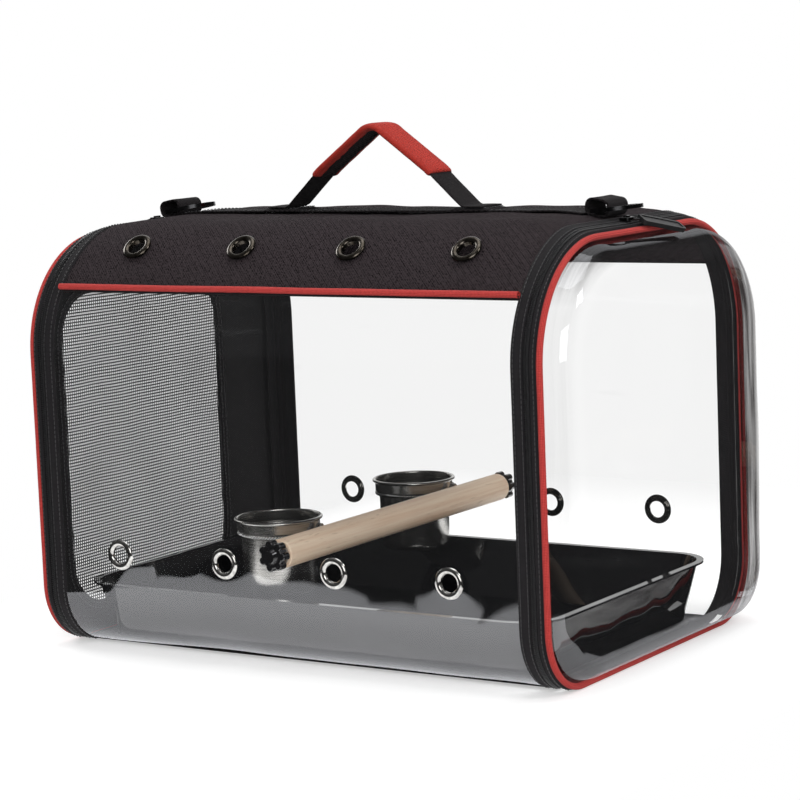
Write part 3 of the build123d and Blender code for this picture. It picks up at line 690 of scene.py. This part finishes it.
def piping(name, path, side_way, body, node):
    """A cord covered with woven tape along a path; side_way is a direction across it."""
    run = np.gradient(path, axis=0)
    run /= np.linalg.norm(run, axis=1)[:, None]
    turn = np.linspace(0, 2 * math.pi, 17)
    spokes = np.cos(turn)[:, None] * side_way + np.sin(turn)[:, None] * np.cross(run, side_way)[:, None]
    uneven = 1 + 0.03 * ripple(path, 0.02, 31)
    flat = laid_flat(along(path), turn * piping_round)
    skew = np.stack([flat[..., 0] + flat[..., 1], flat[..., 0] - flat[..., 1]], -1) * 0.7071
    piece = skin(name, path[:, None] + piping_round * uneven[:, None, None] * spokes, skew)
    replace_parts(fitted(piece, red_tape, body), node)


cord_xs = np.linspace(-band_in - 0.0005, band_in + 0.0005, 260)
binding_xs = np.linspace(-band_in, band_in, 160)
points, outward, at = spaced(lower_line(), 800)
edge = at > at[-1] - binding_wide
for side, prefix in ((-1, "front"), (1, "back")):
    low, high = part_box(f"{prefix}_seam_piping")
    path = np.column_stack([cord_xs, np.full((260, 2), ((low + high) / 2)[1:])])
    path[:, 2] += 0.0004 * ripple(path, 0.09, 33) * np.clip((band_out - np.abs(cord_xs)) / 0.03, 0, 1)
    piping(f"{prefix}_seam_cord", path, (0.0, 0, 1), "carrier_body", f"{prefix}_seam_piping")
    strip = np.stack([at_x(x, (points + 0.0008 * outward)[edge] * (-side, 1)) for x in binding_xs])
    binding = skin(f"{prefix}_seam_binding", strip[::-side], laid_flat(binding_xs, at[edge])[::-side])
    fitted(thicken(binding, 0.0012), tape_cloth, "carrier_body")
for prefix in ("right", "left"):
    low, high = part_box(f"{prefix}_door_piping")
    path = at_x((low.x + high.x) / 2, end_line(low.z + piping_round, 640))
    piping(f"{prefix}_door_cord", path, (1.0, 0, 0), f"{prefix}_door", f"{prefix}_door_piping")


# ----------------------------------------------------------------------------------------------
# Clear door: the same vinyl as the windows, heat-formed into a shallow dome that stands out past
# the piping, with a rounded rim and a face that is never quite flat. The rim's see-through colour is
# darkened in streaks, most at the back and the top: a painted dark reflection.
# ----------------------------------------------------------------------------------------------
def welded(piece):
    """Joins points of a mesh that lie on each other."""
    work = bmesh.new()
    work.from_mesh(piece.data)
    bmesh.ops.remove_doubles(work, verts=work.verts, dist=1e-6)
    work.to_mesh(piece.data)
    work.free()
    piece.data.shade_smooth()
    return piece


dome_low, dome_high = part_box("right_door_panel")
panel_inset, dome_face, rim_round = dome_low.z, dome_high.x, 0.022
rim = [(panel_inset + 0.0048 * t, dome_low.x + 0.0134 * t) for t in np.linspace(0, 1, 7)[:-1]]
rim += [(panel_inset + 0.0255 + rim_round * math.cos(t), dome_face - rim_round + rim_round * math.sin(t))
        for t in np.radians(np.linspace(160.3, 90, 14))]
rings = [at_x(x, end_line(inset, 420)) for inset, x in rim]
middle, face_edge = np.array([dome_face, 0, end_height / 2]), rings[-1]
grid = np.stack(rings + [middle + (face_edge - middle) * share for share in np.linspace(1, 0, 34)[1:]])
inward = np.clip((grid[..., 0] - dome_low.x) / 0.020, 0, 1)
bulge = (0.0018 * ripple(grid, 0.13, 41) + 0.0007 * ripple(grid, 0.05, 42)) * inward
grid[..., 0] += np.where(grid[..., 0] > dome_face - 0.004, bulge, bulge * 0.5)
dome = welded(skin("clear_dome", grid[::-1], grid[::-1][..., 1:]))
dome_vinyl, see_through = clear_finish("dome_clear_vinyl", 13, 0.07, 0.30)
tree = dome_vinyl.node_tree
spot = axes(tree, tree.nodes.new("ShaderNodeTexCoord").outputs["Object"])
# Painted dark reflection: the rim lets less light through, more towards the back and the top and in streaks,
# standing in for the dark room it would mirror.
on_rim = stepped(tree, spot["X"], dome_face - 0.0015, dome_face - 0.009)
painted_reflection_side = number(tree, "MAXIMUM", stepped(tree, spot["Y"], -0.12, 0.17, 0.10),
                   stepped(tree, spot["Z"], 0.34, 0.39, 0.0, 0.75))
streaked = stepped(tree, speckle(tree, 210, (1, 0.07, 0.035), 3), 0.36, 0.62, 0.62)
painted_dark_reflection = number(tree, "MULTIPLY", number(tree, "MULTIPLY", on_rim, painted_reflection_side), streaked)
feed(tree, see_through.inputs["Color"], between(tree, painted_dark_reflection, (0.997, 0.998, 0.997), (0.045, 0.038, 0.037)))
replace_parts(dome, "right_door_panel")
fitted(dome, dome_vinyl, "right_door")


# ----------------------------------------------------------------------------------------------
# Mesh door: a panel of black canvas with a rounded opening, bound with tape and sewn over a sheet
# of open black mesh knitted from flat polyester yarn, which lets air into the bag.
# ----------------------------------------------------------------------------------------------
mesh_low, mesh_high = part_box("left_door_mesh")
mesh_corner, mesh_x = 0.045, (mesh_low.x + mesh_high.x) / 2
opening_middle = np.array(((mesh_low + mesh_high) / 2)[1:])
mesh_half = np.array((mesh_high - mesh_low)[1:]) / 2


def rounded_rectangle(half, corner, count):
    """A rectangle with rounded corners about the origin, with so many points to a corner."""
    corners = []
    for way, start in (((1, 1), 0), ((-1, 1), 90), ((-1, -1), 180), ((1, -1), 270)):
        corners.append(arc(np.radians(np.linspace(start, start + 90, count)), (half - corner) * way, corner))
    return np.concatenate(corners)


angles = np.linspace(0, 2 * math.pi, 721)


def by_angle(line):
    """How far an outline lies from the middle of the opening at each angle."""
    steps = np.linspace(0, 1, 9)[:-1, None, None]
    dense = (line + steps * (np.roll(line, -1, axis=0) - line)).transpose(1, 0, 2).reshape(-1, 2)
    turn = np.arctan2(dense[:, 1], dense[:, 0])
    order = np.argsort(turn)
    return np.interp(angles, turn[order], np.hypot(*dense.T)[order], period=2 * math.pi)


def opening_edge(grow):
    """The opening's edge at each angle, grown by a distance."""
    return by_angle(rounded_rectangle(mesh_half + grow, mesh_corner + grow, 40))


def round_opening(x, reach):
    """Points at a station that lie at a distance from the middle of the opening."""
    return np.stack([np.full(reach.shape, x), opening_middle[0] + reach * np.cos(angles),
                     opening_middle[1] + reach * np.sin(angles)], -1)


def door_ring(name, near, far, x, count, finish, thickness, seed):
    """A ring of cloth round the opening on the mesh door, facing away from the bag."""
    grid = round_opening(x, near + np.linspace(0, 1, count)[:, None] * (far - near))
    grid[..., 0] += 0.0009 * ripple(grid, 0.07, seed) * np.sin(np.linspace(0, math.pi, count))[:, None]
    piece = thicken(welded(skin(name, grid, grid[..., 1:])), thickness)
    return fitted(piece, finish, "left_door")


outer_edge, inner_edge = by_angle(end_line(panel_inset, 600)[:-1] - opening_middle), opening_edge(0.0)
border_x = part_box("left_door_border")[0].x
canvas = door_ring("mesh_door_canvas", inner_edge, outer_edge, border_x + 0.0002, 26, black_canvas, 0.0012,
                   51)
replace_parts(canvas, "left_door_border")
for name, near, far, x, seed in (
        ("mesh_binding_outside", inner_edge - 0.0015, inner_edge + 0.0085, border_x - 0.0007, 52),
        ("mesh_binding_inside", inner_edge - 0.0015, inner_edge + 0.0085, border_x + 0.0023, 52),
        ("mesh_door_inner_binding", outer_edge - 0.0120, outer_edge + 0.0040, -gusset_out + 0.0014, 53)):
    door_ring(name, near, far, x, 6, tape_cloth, 0.0008, seed)
rows = []
for grow in (0.0012, 0.0066):
    path = round_opening(border_x - 0.0008, opening_edge(grow))
    rows += stitch_row(path, (-1.0, 0, 0)) + stitch_row(path + (0.0032, 0, 0), (1.0, 0, 0))
joined("mesh_binding_stitches", rows, black_thread, "left_door")

yarn_pitch, yarn_width, yarn_thick, under_seam = 0.0031, 0.00126, 0.00034, 0.003
mesh_yarn = mottled_finish("mesh_yarn", (0.006, 0.006, 0.007), (0.045, 0.045, 0.047), 0.5, 800)[0]
half, corner = mesh_half + under_seam, mesh_corner + under_seam
yarns = []
for way in (0, 1):
    for across in np.arange(-half[1 - way] + 0.001, half[1 - way], yarn_pitch):
        past = max(0.0, abs(across) - (half[1 - way] - corner))
        end = half[way] - corner + math.sqrt(max(corner**2 - past**2, 0.0))
        line = np.zeros((44, 3))
        line[:, 1 + way] = np.linspace(-end, end, 44) + opening_middle[way]
        line[:, 2 - way] = across + opening_middle[1 - way]
        line[:, 2 - way] += 0.0009 * ripple(line, 0.05, 61 + way)
        line[:, 0] = mesh_x + 0.0022 * ripple(line, 0.10, 63) + yarn_thick * (way - 0.5)
        sides = np.zeros((4, 3))
        sides[:, 0] = np.array([-1, 1, 1, -1]) * yarn_thick / 2
        sides[:, 2 - way] = np.array([-1, -1, 1, 1]) * yarn_width / 2
        yarns.append(((line[:, None] + sides).reshape(-1, 3), tube_faces(44, 4)))
air_mesh = joined("air_mesh", yarns, mesh_yarn, "left_door", smooth=False)
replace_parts(air_mesh, "left_door_mesh")


# ----------------------------------------------------------------------------------------------
# Eyelets: pressed brass, plated gunmetal in the top cover and bright nickel in the windows, each
# with a washer turned over behind the sheet.
# ----------------------------------------------------------------------------------------------
def metal_finish(name, dark, light, rough, scale=220):
    """Plated or polished metal with faint rubbing and uneven gloss."""
    made, tree, shader = plain_finish(name, dark, rough, metallic=1.0)
    rubbed = speckle(tree, scale, detail=4)
    feed(tree, shader.inputs["Base Color"], between(tree, rubbed, dark, light, 0.35, 0.7))
    feed(tree, shader.inputs["Roughness"], number(tree, "MULTIPLY_ADD", rubbed, rough * 0.8, rough * 0.6))
    raised(tree, shader, rubbed, 0.00002)
    return made


dress(metal_finish("gunmetal_plate", (0.045, 0.038, 0.030), (0.105, 0.092, 0.078), 0.20), "top_grommets")
dress(metal_finish("nickel_plate", (0.34, 0.33, 0.32), (0.58, 0.57, 0.55), 0.14), "window_grommets")


# ----------------------------------------------------------------------------------------------
# Perch: a sanded beech dowel across the bag, with a washer at each end and a seven-lobed knob in
# glossy black plastic moulded over the stud that screws into its end.
# ----------------------------------------------------------------------------------------------
beech, tree, shader = plain_finish("sanded_beech", (0.72, 0.52, 0.36), 0.55)
grain, figure, fleck = (speckle(tree, scale, (1, stretch, 1), detail)
                        for scale, stretch, detail in ((330, 0.022, 4), (45, 0.12, 3), (600, 0.10, 1)))
tone = number(tree, "MULTIPLY_ADD", grain, 0.55, number(tree, "MULTIPLY", figure, 0.45))
flecked = tree.nodes.new("ShaderNodeMix")
flecked.data_type = "RGBA"
feed(tree, flecked.inputs[0], stepped(tree, fleck, 0.66, 0.74, 0.0, 0.5))
feed(tree, flecked.inputs[6], between(tree, tone, (0.82, 0.56, 0.38), (0.98, 0.79, 0.60), 0.34, 0.62))
feed(tree, flecked.inputs[7], (0.55, 0.36, 0.22, 1))
feed(tree, shader.inputs["Base Color"], flecked.outputs[2])
raised(tree, shader, grain, 0.00018)
dress(beech, "perch_dowel")
zinc = metal_finish("zinc_plate", (0.40, 0.40, 0.41), (0.60, 0.60, 0.61), 0.3)
dress(zinc, "perch_washers")
knob_gloss, tree, shader, swirl = mottled_finish("glossy_black_knob", (0.004, 0.004, 0.0045),
                                                 (0.013, 0.013, 0.014), 0.13, 260, coat=0.4)
feed(tree, shader.inputs["Roughness"], number(tree, "MULTIPLY_ADD", swirl, 0.06, 0.05))
raised(tree, shader, swirl, 0.000006)
dress(knob_gloss, "front_perch_knob", "back_perch_knob")


# ----------------------------------------------------------------------------------------------
# Bowls: spun stainless cups with a rolled rim, brushed round and round, each standing in a ring of
# two twisted steel wires whose end is screwed through the perch under a wing nut.
# ----------------------------------------------------------------------------------------------
def spun_steel(name, centre):
    """Brushed stainless with its brushing round the axis of the cup."""
    made, tree, shader = plain_finish(name, (0.60, 0.59, 0.57), 0.24, metallic=1.0)
    place = tree.nodes.new("ShaderNodeTexCoord").outputs["Object"]
    from_axis = vector_of(tree, "SUBTRACT", place, (centre.x, centre.y, 0))
    x, y, z = axes(tree, from_axis)
    lines = tree.nodes.new("ShaderNodeCombineXYZ")
    off_axis = number(tree, "SQRT", number(tree, "MULTIPLY_ADD", x, x, number(tree, "MULTIPLY", y, y)))
    feed(tree, lines.inputs[0], off_axis)
    feed(tree, lines.inputs[1], number(tree, "MULTIPLY", number(tree, "ARCTAN2", y, x), 0.0006))
    feed(tree, lines.inputs[2], z)
    brushed = speckle(tree, 2400, vector=lines.outputs[0])
    feed(tree, shader.inputs["Base Color"],
         between(tree, brushed, (0.34, 0.335, 0.32), (0.60, 0.59, 0.57), 0.3, 0.7))
    feed(tree, shader.inputs["Roughness"], number(tree, "MULTIPLY_ADD", brushed, 0.14, 0.15))
    raised(tree, shader, brushed, 0.000008)
    shader.inputs["Anisotropic"].default_value = 0.5
    feed(tree, shader.inputs["Tangent"], vector_of(tree, "CROSS_PRODUCT", (0, 0, 1), from_axis))
    return made


def wire_along(path, beside, thick, capped):
    """A round wire along a path, as its corners and faces; beside is a direction that isn't along it."""
    run = np.gradient(path, axis=0)
    run /= np.linalg.norm(run, axis=1)[:, None]
    up = np.cross(run, beside)
    up /= np.linalg.norm(up, axis=1)[:, None]
    ring = np.linspace(0, 2 * math.pi, 9)[:-1, None]
    spokes = np.cos(ring) * up[:, None] + np.sin(ring) * np.cross(run, up)[:, None]
    tube = path[:, None] + np.broadcast_to(thick, len(path))[:, None, None] * spokes
    return tube.reshape(-1, 3), tube_faces(len(path), 8, capped)


wire_steel = metal_finish("bright_wire", (0.45, 0.45, 0.45), (0.72, 0.72, 0.71), 0.18, 600)
turn, twists = np.linspace(0, 2 * math.pi, 600), 42
stud_ridges = 0.93 + 0.07 * np.cos(np.arange(60) * math.pi)
for prefix in ("front", "back"):
    low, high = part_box(f"{prefix}_bowl")
    centre = (low + high) / 2
    dress(spun_steel(f"{prefix}_spun_steel", centre), f"{prefix}_bowl")
    ring_low, ring_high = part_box(f"{prefix}_bowl_ring")
    wire, ring_z = (ring_high.z - ring_low.z) / 4, (ring_high.z + ring_low.z) / 2
    ring_round = centre.x - ring_low.x - 2 * wire
    wires = []
    for strand in (0, math.pi):
        twist = twists * turn + strand
        spread = ring_round + wire * np.cos(twist)
        path = np.stack([centre.x + spread * np.cos(turn), centre.y + spread * np.sin(turn),
                         ring_z + wire * np.sin(twist)], -1)
        wires.append(wire_along(path, (path - np.array(centre)) * (1, 1, 0), wire, False))
    stud = np.linspace((centre.x + ring_round, centre.y, ring_z), (ring_high.x, centre.y, ring_z), 60)
    wires.append(wire_along(stud, (0.0, 0, 1.0), 2 * wire * stud_ridges, True))
    twisted = joined(f"{prefix}_twisted_ring", wires, wire_steel, "carrier_body")
    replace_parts(twisted, f"{prefix}_bowl_ring")
dress(zinc, "bowl_wing_nuts")


# ----------------------------------------------------------------------------------------------
# Handle: one length of black webbing that rises in an arch from two patches sewn to the top, with a
# padded red wrap sewn round it, open along its underside. The legs bend where they leave the top.
# ----------------------------------------------------------------------------------------------
webbing = woven_finish("black_webbing", (0.003, 0.0022, 0.0026), (0.016, 0.0130, 0.0145), 0.0030, 0.0012,
                       0.0006, 0.25)


def rounded(points, radii):
    """A polyline with its corners rounded, as evenly spaced points and their distances."""
    points = [np.array(p, float) for p in points]
    line = [points[0]]
    for before, here, after, radius in zip(points, points[1:], points[2:], radii):
        back, on = (way / np.linalg.norm(way) for way in (before - here, after - here))
        half_angle = math.acos(back @ on) / 2
        centre = here + (back + on) / np.linalg.norm(back + on) * radius / math.sin(half_angle)
        first, last = (here + way * radius / math.tan(half_angle) - centre for way in (back, on))
        for t in np.linspace(0, 1, 24):
            spoke = first * (1 - t) + last * t
            line.append(centre + spoke / np.linalg.norm(spoke) * radius)
    line = np.array(line + [points[-1]])
    steps = along(line)
    at = np.linspace(0, steps[-1], int(steps[-1] / 0.0012) + 2)
    return picked(line, steps, at), at


def flat_ripple(first, second, length, seed):
    """Uneven waves over a flat grid of two rows of distances."""
    flat = laid_flat(first, second)
    return ripple(np.dstack([flat, np.zeros(flat.shape[:2])]), length, seed)


def on_arch(line, lift, across):
    """Points at their heights above a line in the X-Z plane, and across it along Y."""
    out = outwards(line)
    return np.stack([line[:, None, 0] + out[:, None, 0] * lift, np.broadcast_to(across, lift.shape),
                     line[:, None, 1] + out[:, None, 1] * lift], -1)


def ends_closed(piece):
    """Fills the open ends of a tube of cloth."""
    work = bmesh.new()
    work.from_mesh(piece.data)
    bmesh.ops.holes_fill(work, edges=[edge for edge in work.edges if edge.is_boundary], sides=0)
    work.to_mesh(piece.data)
    work.free()
    return piece


feet_low, feet_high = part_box("handle_feet")
strap_low, strap_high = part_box("handle_strap")
grip_low, grip_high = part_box("handle_grip")
strap_width, strap_thick, strap_seat = strap_high.y - strap_low.y, 0.0022, feet_high.z + 0.0012
grip_end_x, grip_end_z, apex_z = 0.062, feet_low.z + 0.041, feet_low.z + 0.0865
arch, arch_at = rounded([(-0.124, strap_seat), (-0.1015, strap_seat), (-grip_end_x, grip_end_z), (0, apex_z),
                         (grip_end_x, grip_end_z), (0.1015, strap_seat), (0.124, strap_seat)],
                        (0.010, 0.060, 0.018, 0.060, 0.010))
ys = np.linspace(-strap_width / 2, strap_width / 2, 25)
half_thick = strap_thick / 2 * (0.45 + 0.55 * (1 - (np.abs(ys) / (strap_width / 2)) ** 8))
rim = np.column_stack([np.append(ys, ys[::-1]), np.append(half_thick, -half_thick[::-1])])
rim = np.append(rim, rim[:1], axis=0)
grid = on_arch(arch, rim[:, 1] + 0.0003 * flat_ripple(arch_at, rim[:, 0], 0.02, 71), rim[:, 0])
strap = ends_closed(welded(skin("handle_webbing", grid[::-1], laid_flat(arch_at, rim[:, 0])[::-1])))
strap.data.materials.append(webbing)
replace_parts(strap, "handle_strap")
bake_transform(strap)

red_wrap = woven_finish("red_wrap_cloth", (0.16, 0.007, 0.004), (0.46, 0.030, 0.018), 0.0012, 0.0012, 0.0006,
                        0.55, 0.9, 0.06)
inside = np.abs(arch[:, 0]) < grip_end_x + 0.0058
wrap_line, wrap_at = arch[inside], arch_at[inside]
out = outwards(wrap_line)
section, lap_y, seam_y, seam_lift = np.linspace(0, 2 * math.pi, 73), 0.006, 0.0168, 0.0027
across = np.sign(np.cos(section)) * np.abs(np.cos(section)) ** 0.55 * (grip_high.y - grip_low.y) / 2
lift = np.sign(np.sin(section)) * np.abs(np.sin(section)) ** 0.75
end_round = np.clip(np.minimum(wrap_at - wrap_at[0], wrap_at[-1] - wrap_at) / 0.0022, 0, 1)[:, None] ** 0.5
end_thick, foam_thick = 0.0024, 0.0016
height = lift * (end_thick + foam_thick * end_round)
bend = np.exp(-((wrap_line[:, :1] / 0.012) ** 2)) + 0.4
height += 0.0005 * flat_ripple(wrap_at, across * 0.3, 0.012, 81) * bend * np.sign(height)
height += 0.0006 * np.clip(1 - np.abs(across - lap_y) / 0.0009, 0, 1) * (height < 0)
height -= 0.0007 * ((across > lap_y) & (height < 0))
grid = on_arch(wrap_line, height, across * (0.97 + 0.03 * end_round))
grid[:, -1] = grid[:, 0]
flat = laid_flat(wrap_at, section * 0.0155)
wrap = ends_closed(welded(skin("handle_wrap", grid[::-1], flat[::-1])))
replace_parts(fitted(wrap, red_wrap, "handle"), "handle_grip")
wrap.data.materials.append(webbing)
middles = np.array([sum((wrap.data.vertices[i].co for i in face.vertices), Vector()) / len(face.vertices)
                    for face in wrap.data.polygons])
nearest = np.argmin(np.abs(middles[:, :1] - wrap_line[:, 0]), axis=1)
above = ((middles[:, ::2] - wrap_line[nearest]) * out[nearest]).sum(1)
open_edge = 0.0125 + 0.0025 * ripple(middles * (1, 0, 1), 0.009, 83)
bare = (above < -0.0012) & (np.abs(middles[:, 1]) < open_edge)
wrap.data.polygons.foreach_set("material_index", bare.astype(np.int32))
red_thread = mottled_finish("red_thread", (0.30, 0.015, 0.01), (0.65, 0.06, 0.04), 0.5, 1500)[0]
rows = []
for y in (-seam_y, seam_y):
    path = np.insert(wrap_line + out * seam_lift, 1, y, axis=1)
    rows += stitch_row(path[3:-3], np.insert(out, 1, 0, axis=1)[3:-3])
joined("wrap_stitches", rows, red_thread, "handle")

patch_xs = np.linspace(feet_high.x - 0.042, feet_high.x, 30)
flat = laid_flat(patch_xs, np.linspace(feet_low.y, feet_high.y, 30))
from_middle = np.abs(np.linspace(-1, 1, 30))
droop = np.maximum(from_middle[:, None], from_middle) ** 10
patch_z = feet_high.z - (feet_high.z - feet_low.z - 0.0012) * droop
near, far, wide = feet_high.x - 0.039, feet_high.x - 0.003, feet_high.y - 0.004
seam = [(near, -wide), (far, -wide), (far, wide), (near, wide), (near, -wide), (far, wide), (near, wide),
        (far, -wide)]
rows = []
for side, prefix in ((-1, "left"), (1, "right")):
    grid = np.dstack([flat * (side, 1), patch_z])
    patch = thicken(skin(f"handle_patch_{prefix}", grid[::side], flat[::side]), 0.0012)
    fitted(patch, webbing, "carrier_body")
    if side < 0:
        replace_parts(patch, "handle_feet")
    for start, end in zip(seam, seam[1:]):
        ends = [(side * x, y, feet_high.z + 0.0002) for x, y in (start, end)]
        rows += stitch_row(np.linspace(*ends, 12), (0.0, 0, 1))
joined("handle_patch_stitches", rows, black_thread, "carrier_body")


# ----------------------------------------------------------------------------------------------
# D-rings: black plated steel, each lying on the top in a folded loop of webbing that is sewn to a
# flat strip of the same webbing along the middle of the top. A shoulder strap would hook on here.
# ----------------------------------------------------------------------------------------------
loop_x, loop_slope, loop_corner, loop_lift = 0.246, math.radians(-10.1), 0.0070, 0.0085
line = rounded_rectangle(np.array([0.0124, 0.0084]), loop_corner, 12)
line, _, at = spaced(np.concatenate([line, line[:1]]), 90)
line += (0, loop_lift)
for side, prefix in ((1, "right"), (-1, "left")):
    low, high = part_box(f"{prefix}_d_ring_loop")
    slope, seat = loop_slope * side, end_height + float(rise(loop_x)) + 0.0001
    ys = np.linspace(low.y, high.y, 30)
    grid = np.zeros((30, 90, 3))
    grid[..., 0] = side * loop_x + line[:, 0] * math.cos(slope) - line[:, 1] * math.sin(slope)
    grid[..., 2] = seat + line[:, 0] * math.sin(slope) + line[:, 1] * math.cos(slope)
    grid[..., 1] = ys[:, None]
    grid[..., 2] += 0.0004 * ripple(grid, 0.015, 91) * (line[:, 1] > 0.010)
    loop = thicken(welded(skin(f"{prefix}_webbing_loop", grid, laid_flat(ys, at)[..., ::-1])), 0.0018)
    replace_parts(fitted(loop, webbing, "carrier_body"), f"{prefix}_d_ring_loop")
black_plate = metal_finish("black_plate", (0.020, 0.020, 0.021), (0.055, 0.055, 0.057), 0.22)
dress(black_plate, "right_d_ring", "left_d_ring")

strip_end, patch_out, patch_in = 0.2325, feet_high.x + 0.0004, feet_high.x - 0.0424
strip_lift, strip_thick, seam_in = 0.0014, 0.0014, 0.0025
rows = []
runs = ((-strip_end, -patch_out), (-patch_in, patch_in), (patch_out, strip_end))
for index, (start, end) in enumerate(runs):
    xs = np.linspace(start, end, int((end - start) / 0.002))
    ys = np.linspace(-strap_width / 2, strap_width / 2, 20)
    flat = laid_flat(xs, ys)
    lift = end_height + rise(flat[..., 0]) + strip_lift + 0.0003 * flat_ripple(xs, ys, 0.03, 95)
    strip = thicken(skin(f"crown_strip_{index + 1}", np.dstack([flat, lift]), flat), strip_thick)
    fitted(strip, webbing, "carrier_body")
    for y in (seam_in - strap_width / 2, strap_width / 2 - seam_in):
        path = np.column_stack([xs, np.full(len(xs), y), end_height + rise(xs) + 0.0017])
        rows += stitch_row(path, (0.0, 0, 1))
joined("crown_strip_stitches", rows, black_thread, "carrier_body")


# ----------------------------------------------------------------------------------------------
# Zip sliders and pulls: black die-cast sliders on the straight top run of each zip, with a wire
# link and a flexible moulded rubber tab that has a raised border and a bare middle.
# ----------------------------------------------------------------------------------------------
dress(black_plate, "right_zip_slider", "left_zip_slider", "right_zip_pull_link", "left_zip_pull_link")
tab_rubber, tree, shader, grain = mottled_finish("moulded_rubber", (0.008, 0.008, 0.0085),
                                                 (0.022, 0.022, 0.023), 0.42, 1600)
feed(tree, shader.inputs["Roughness"], number(tree, "MULTIPLY_ADD", grain, 0.2, 0.32))
raised(tree, shader, grain, 0.00006)
dress(tab_rubber, "right_zip_pull", "left_zip_pull")


low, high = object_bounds()
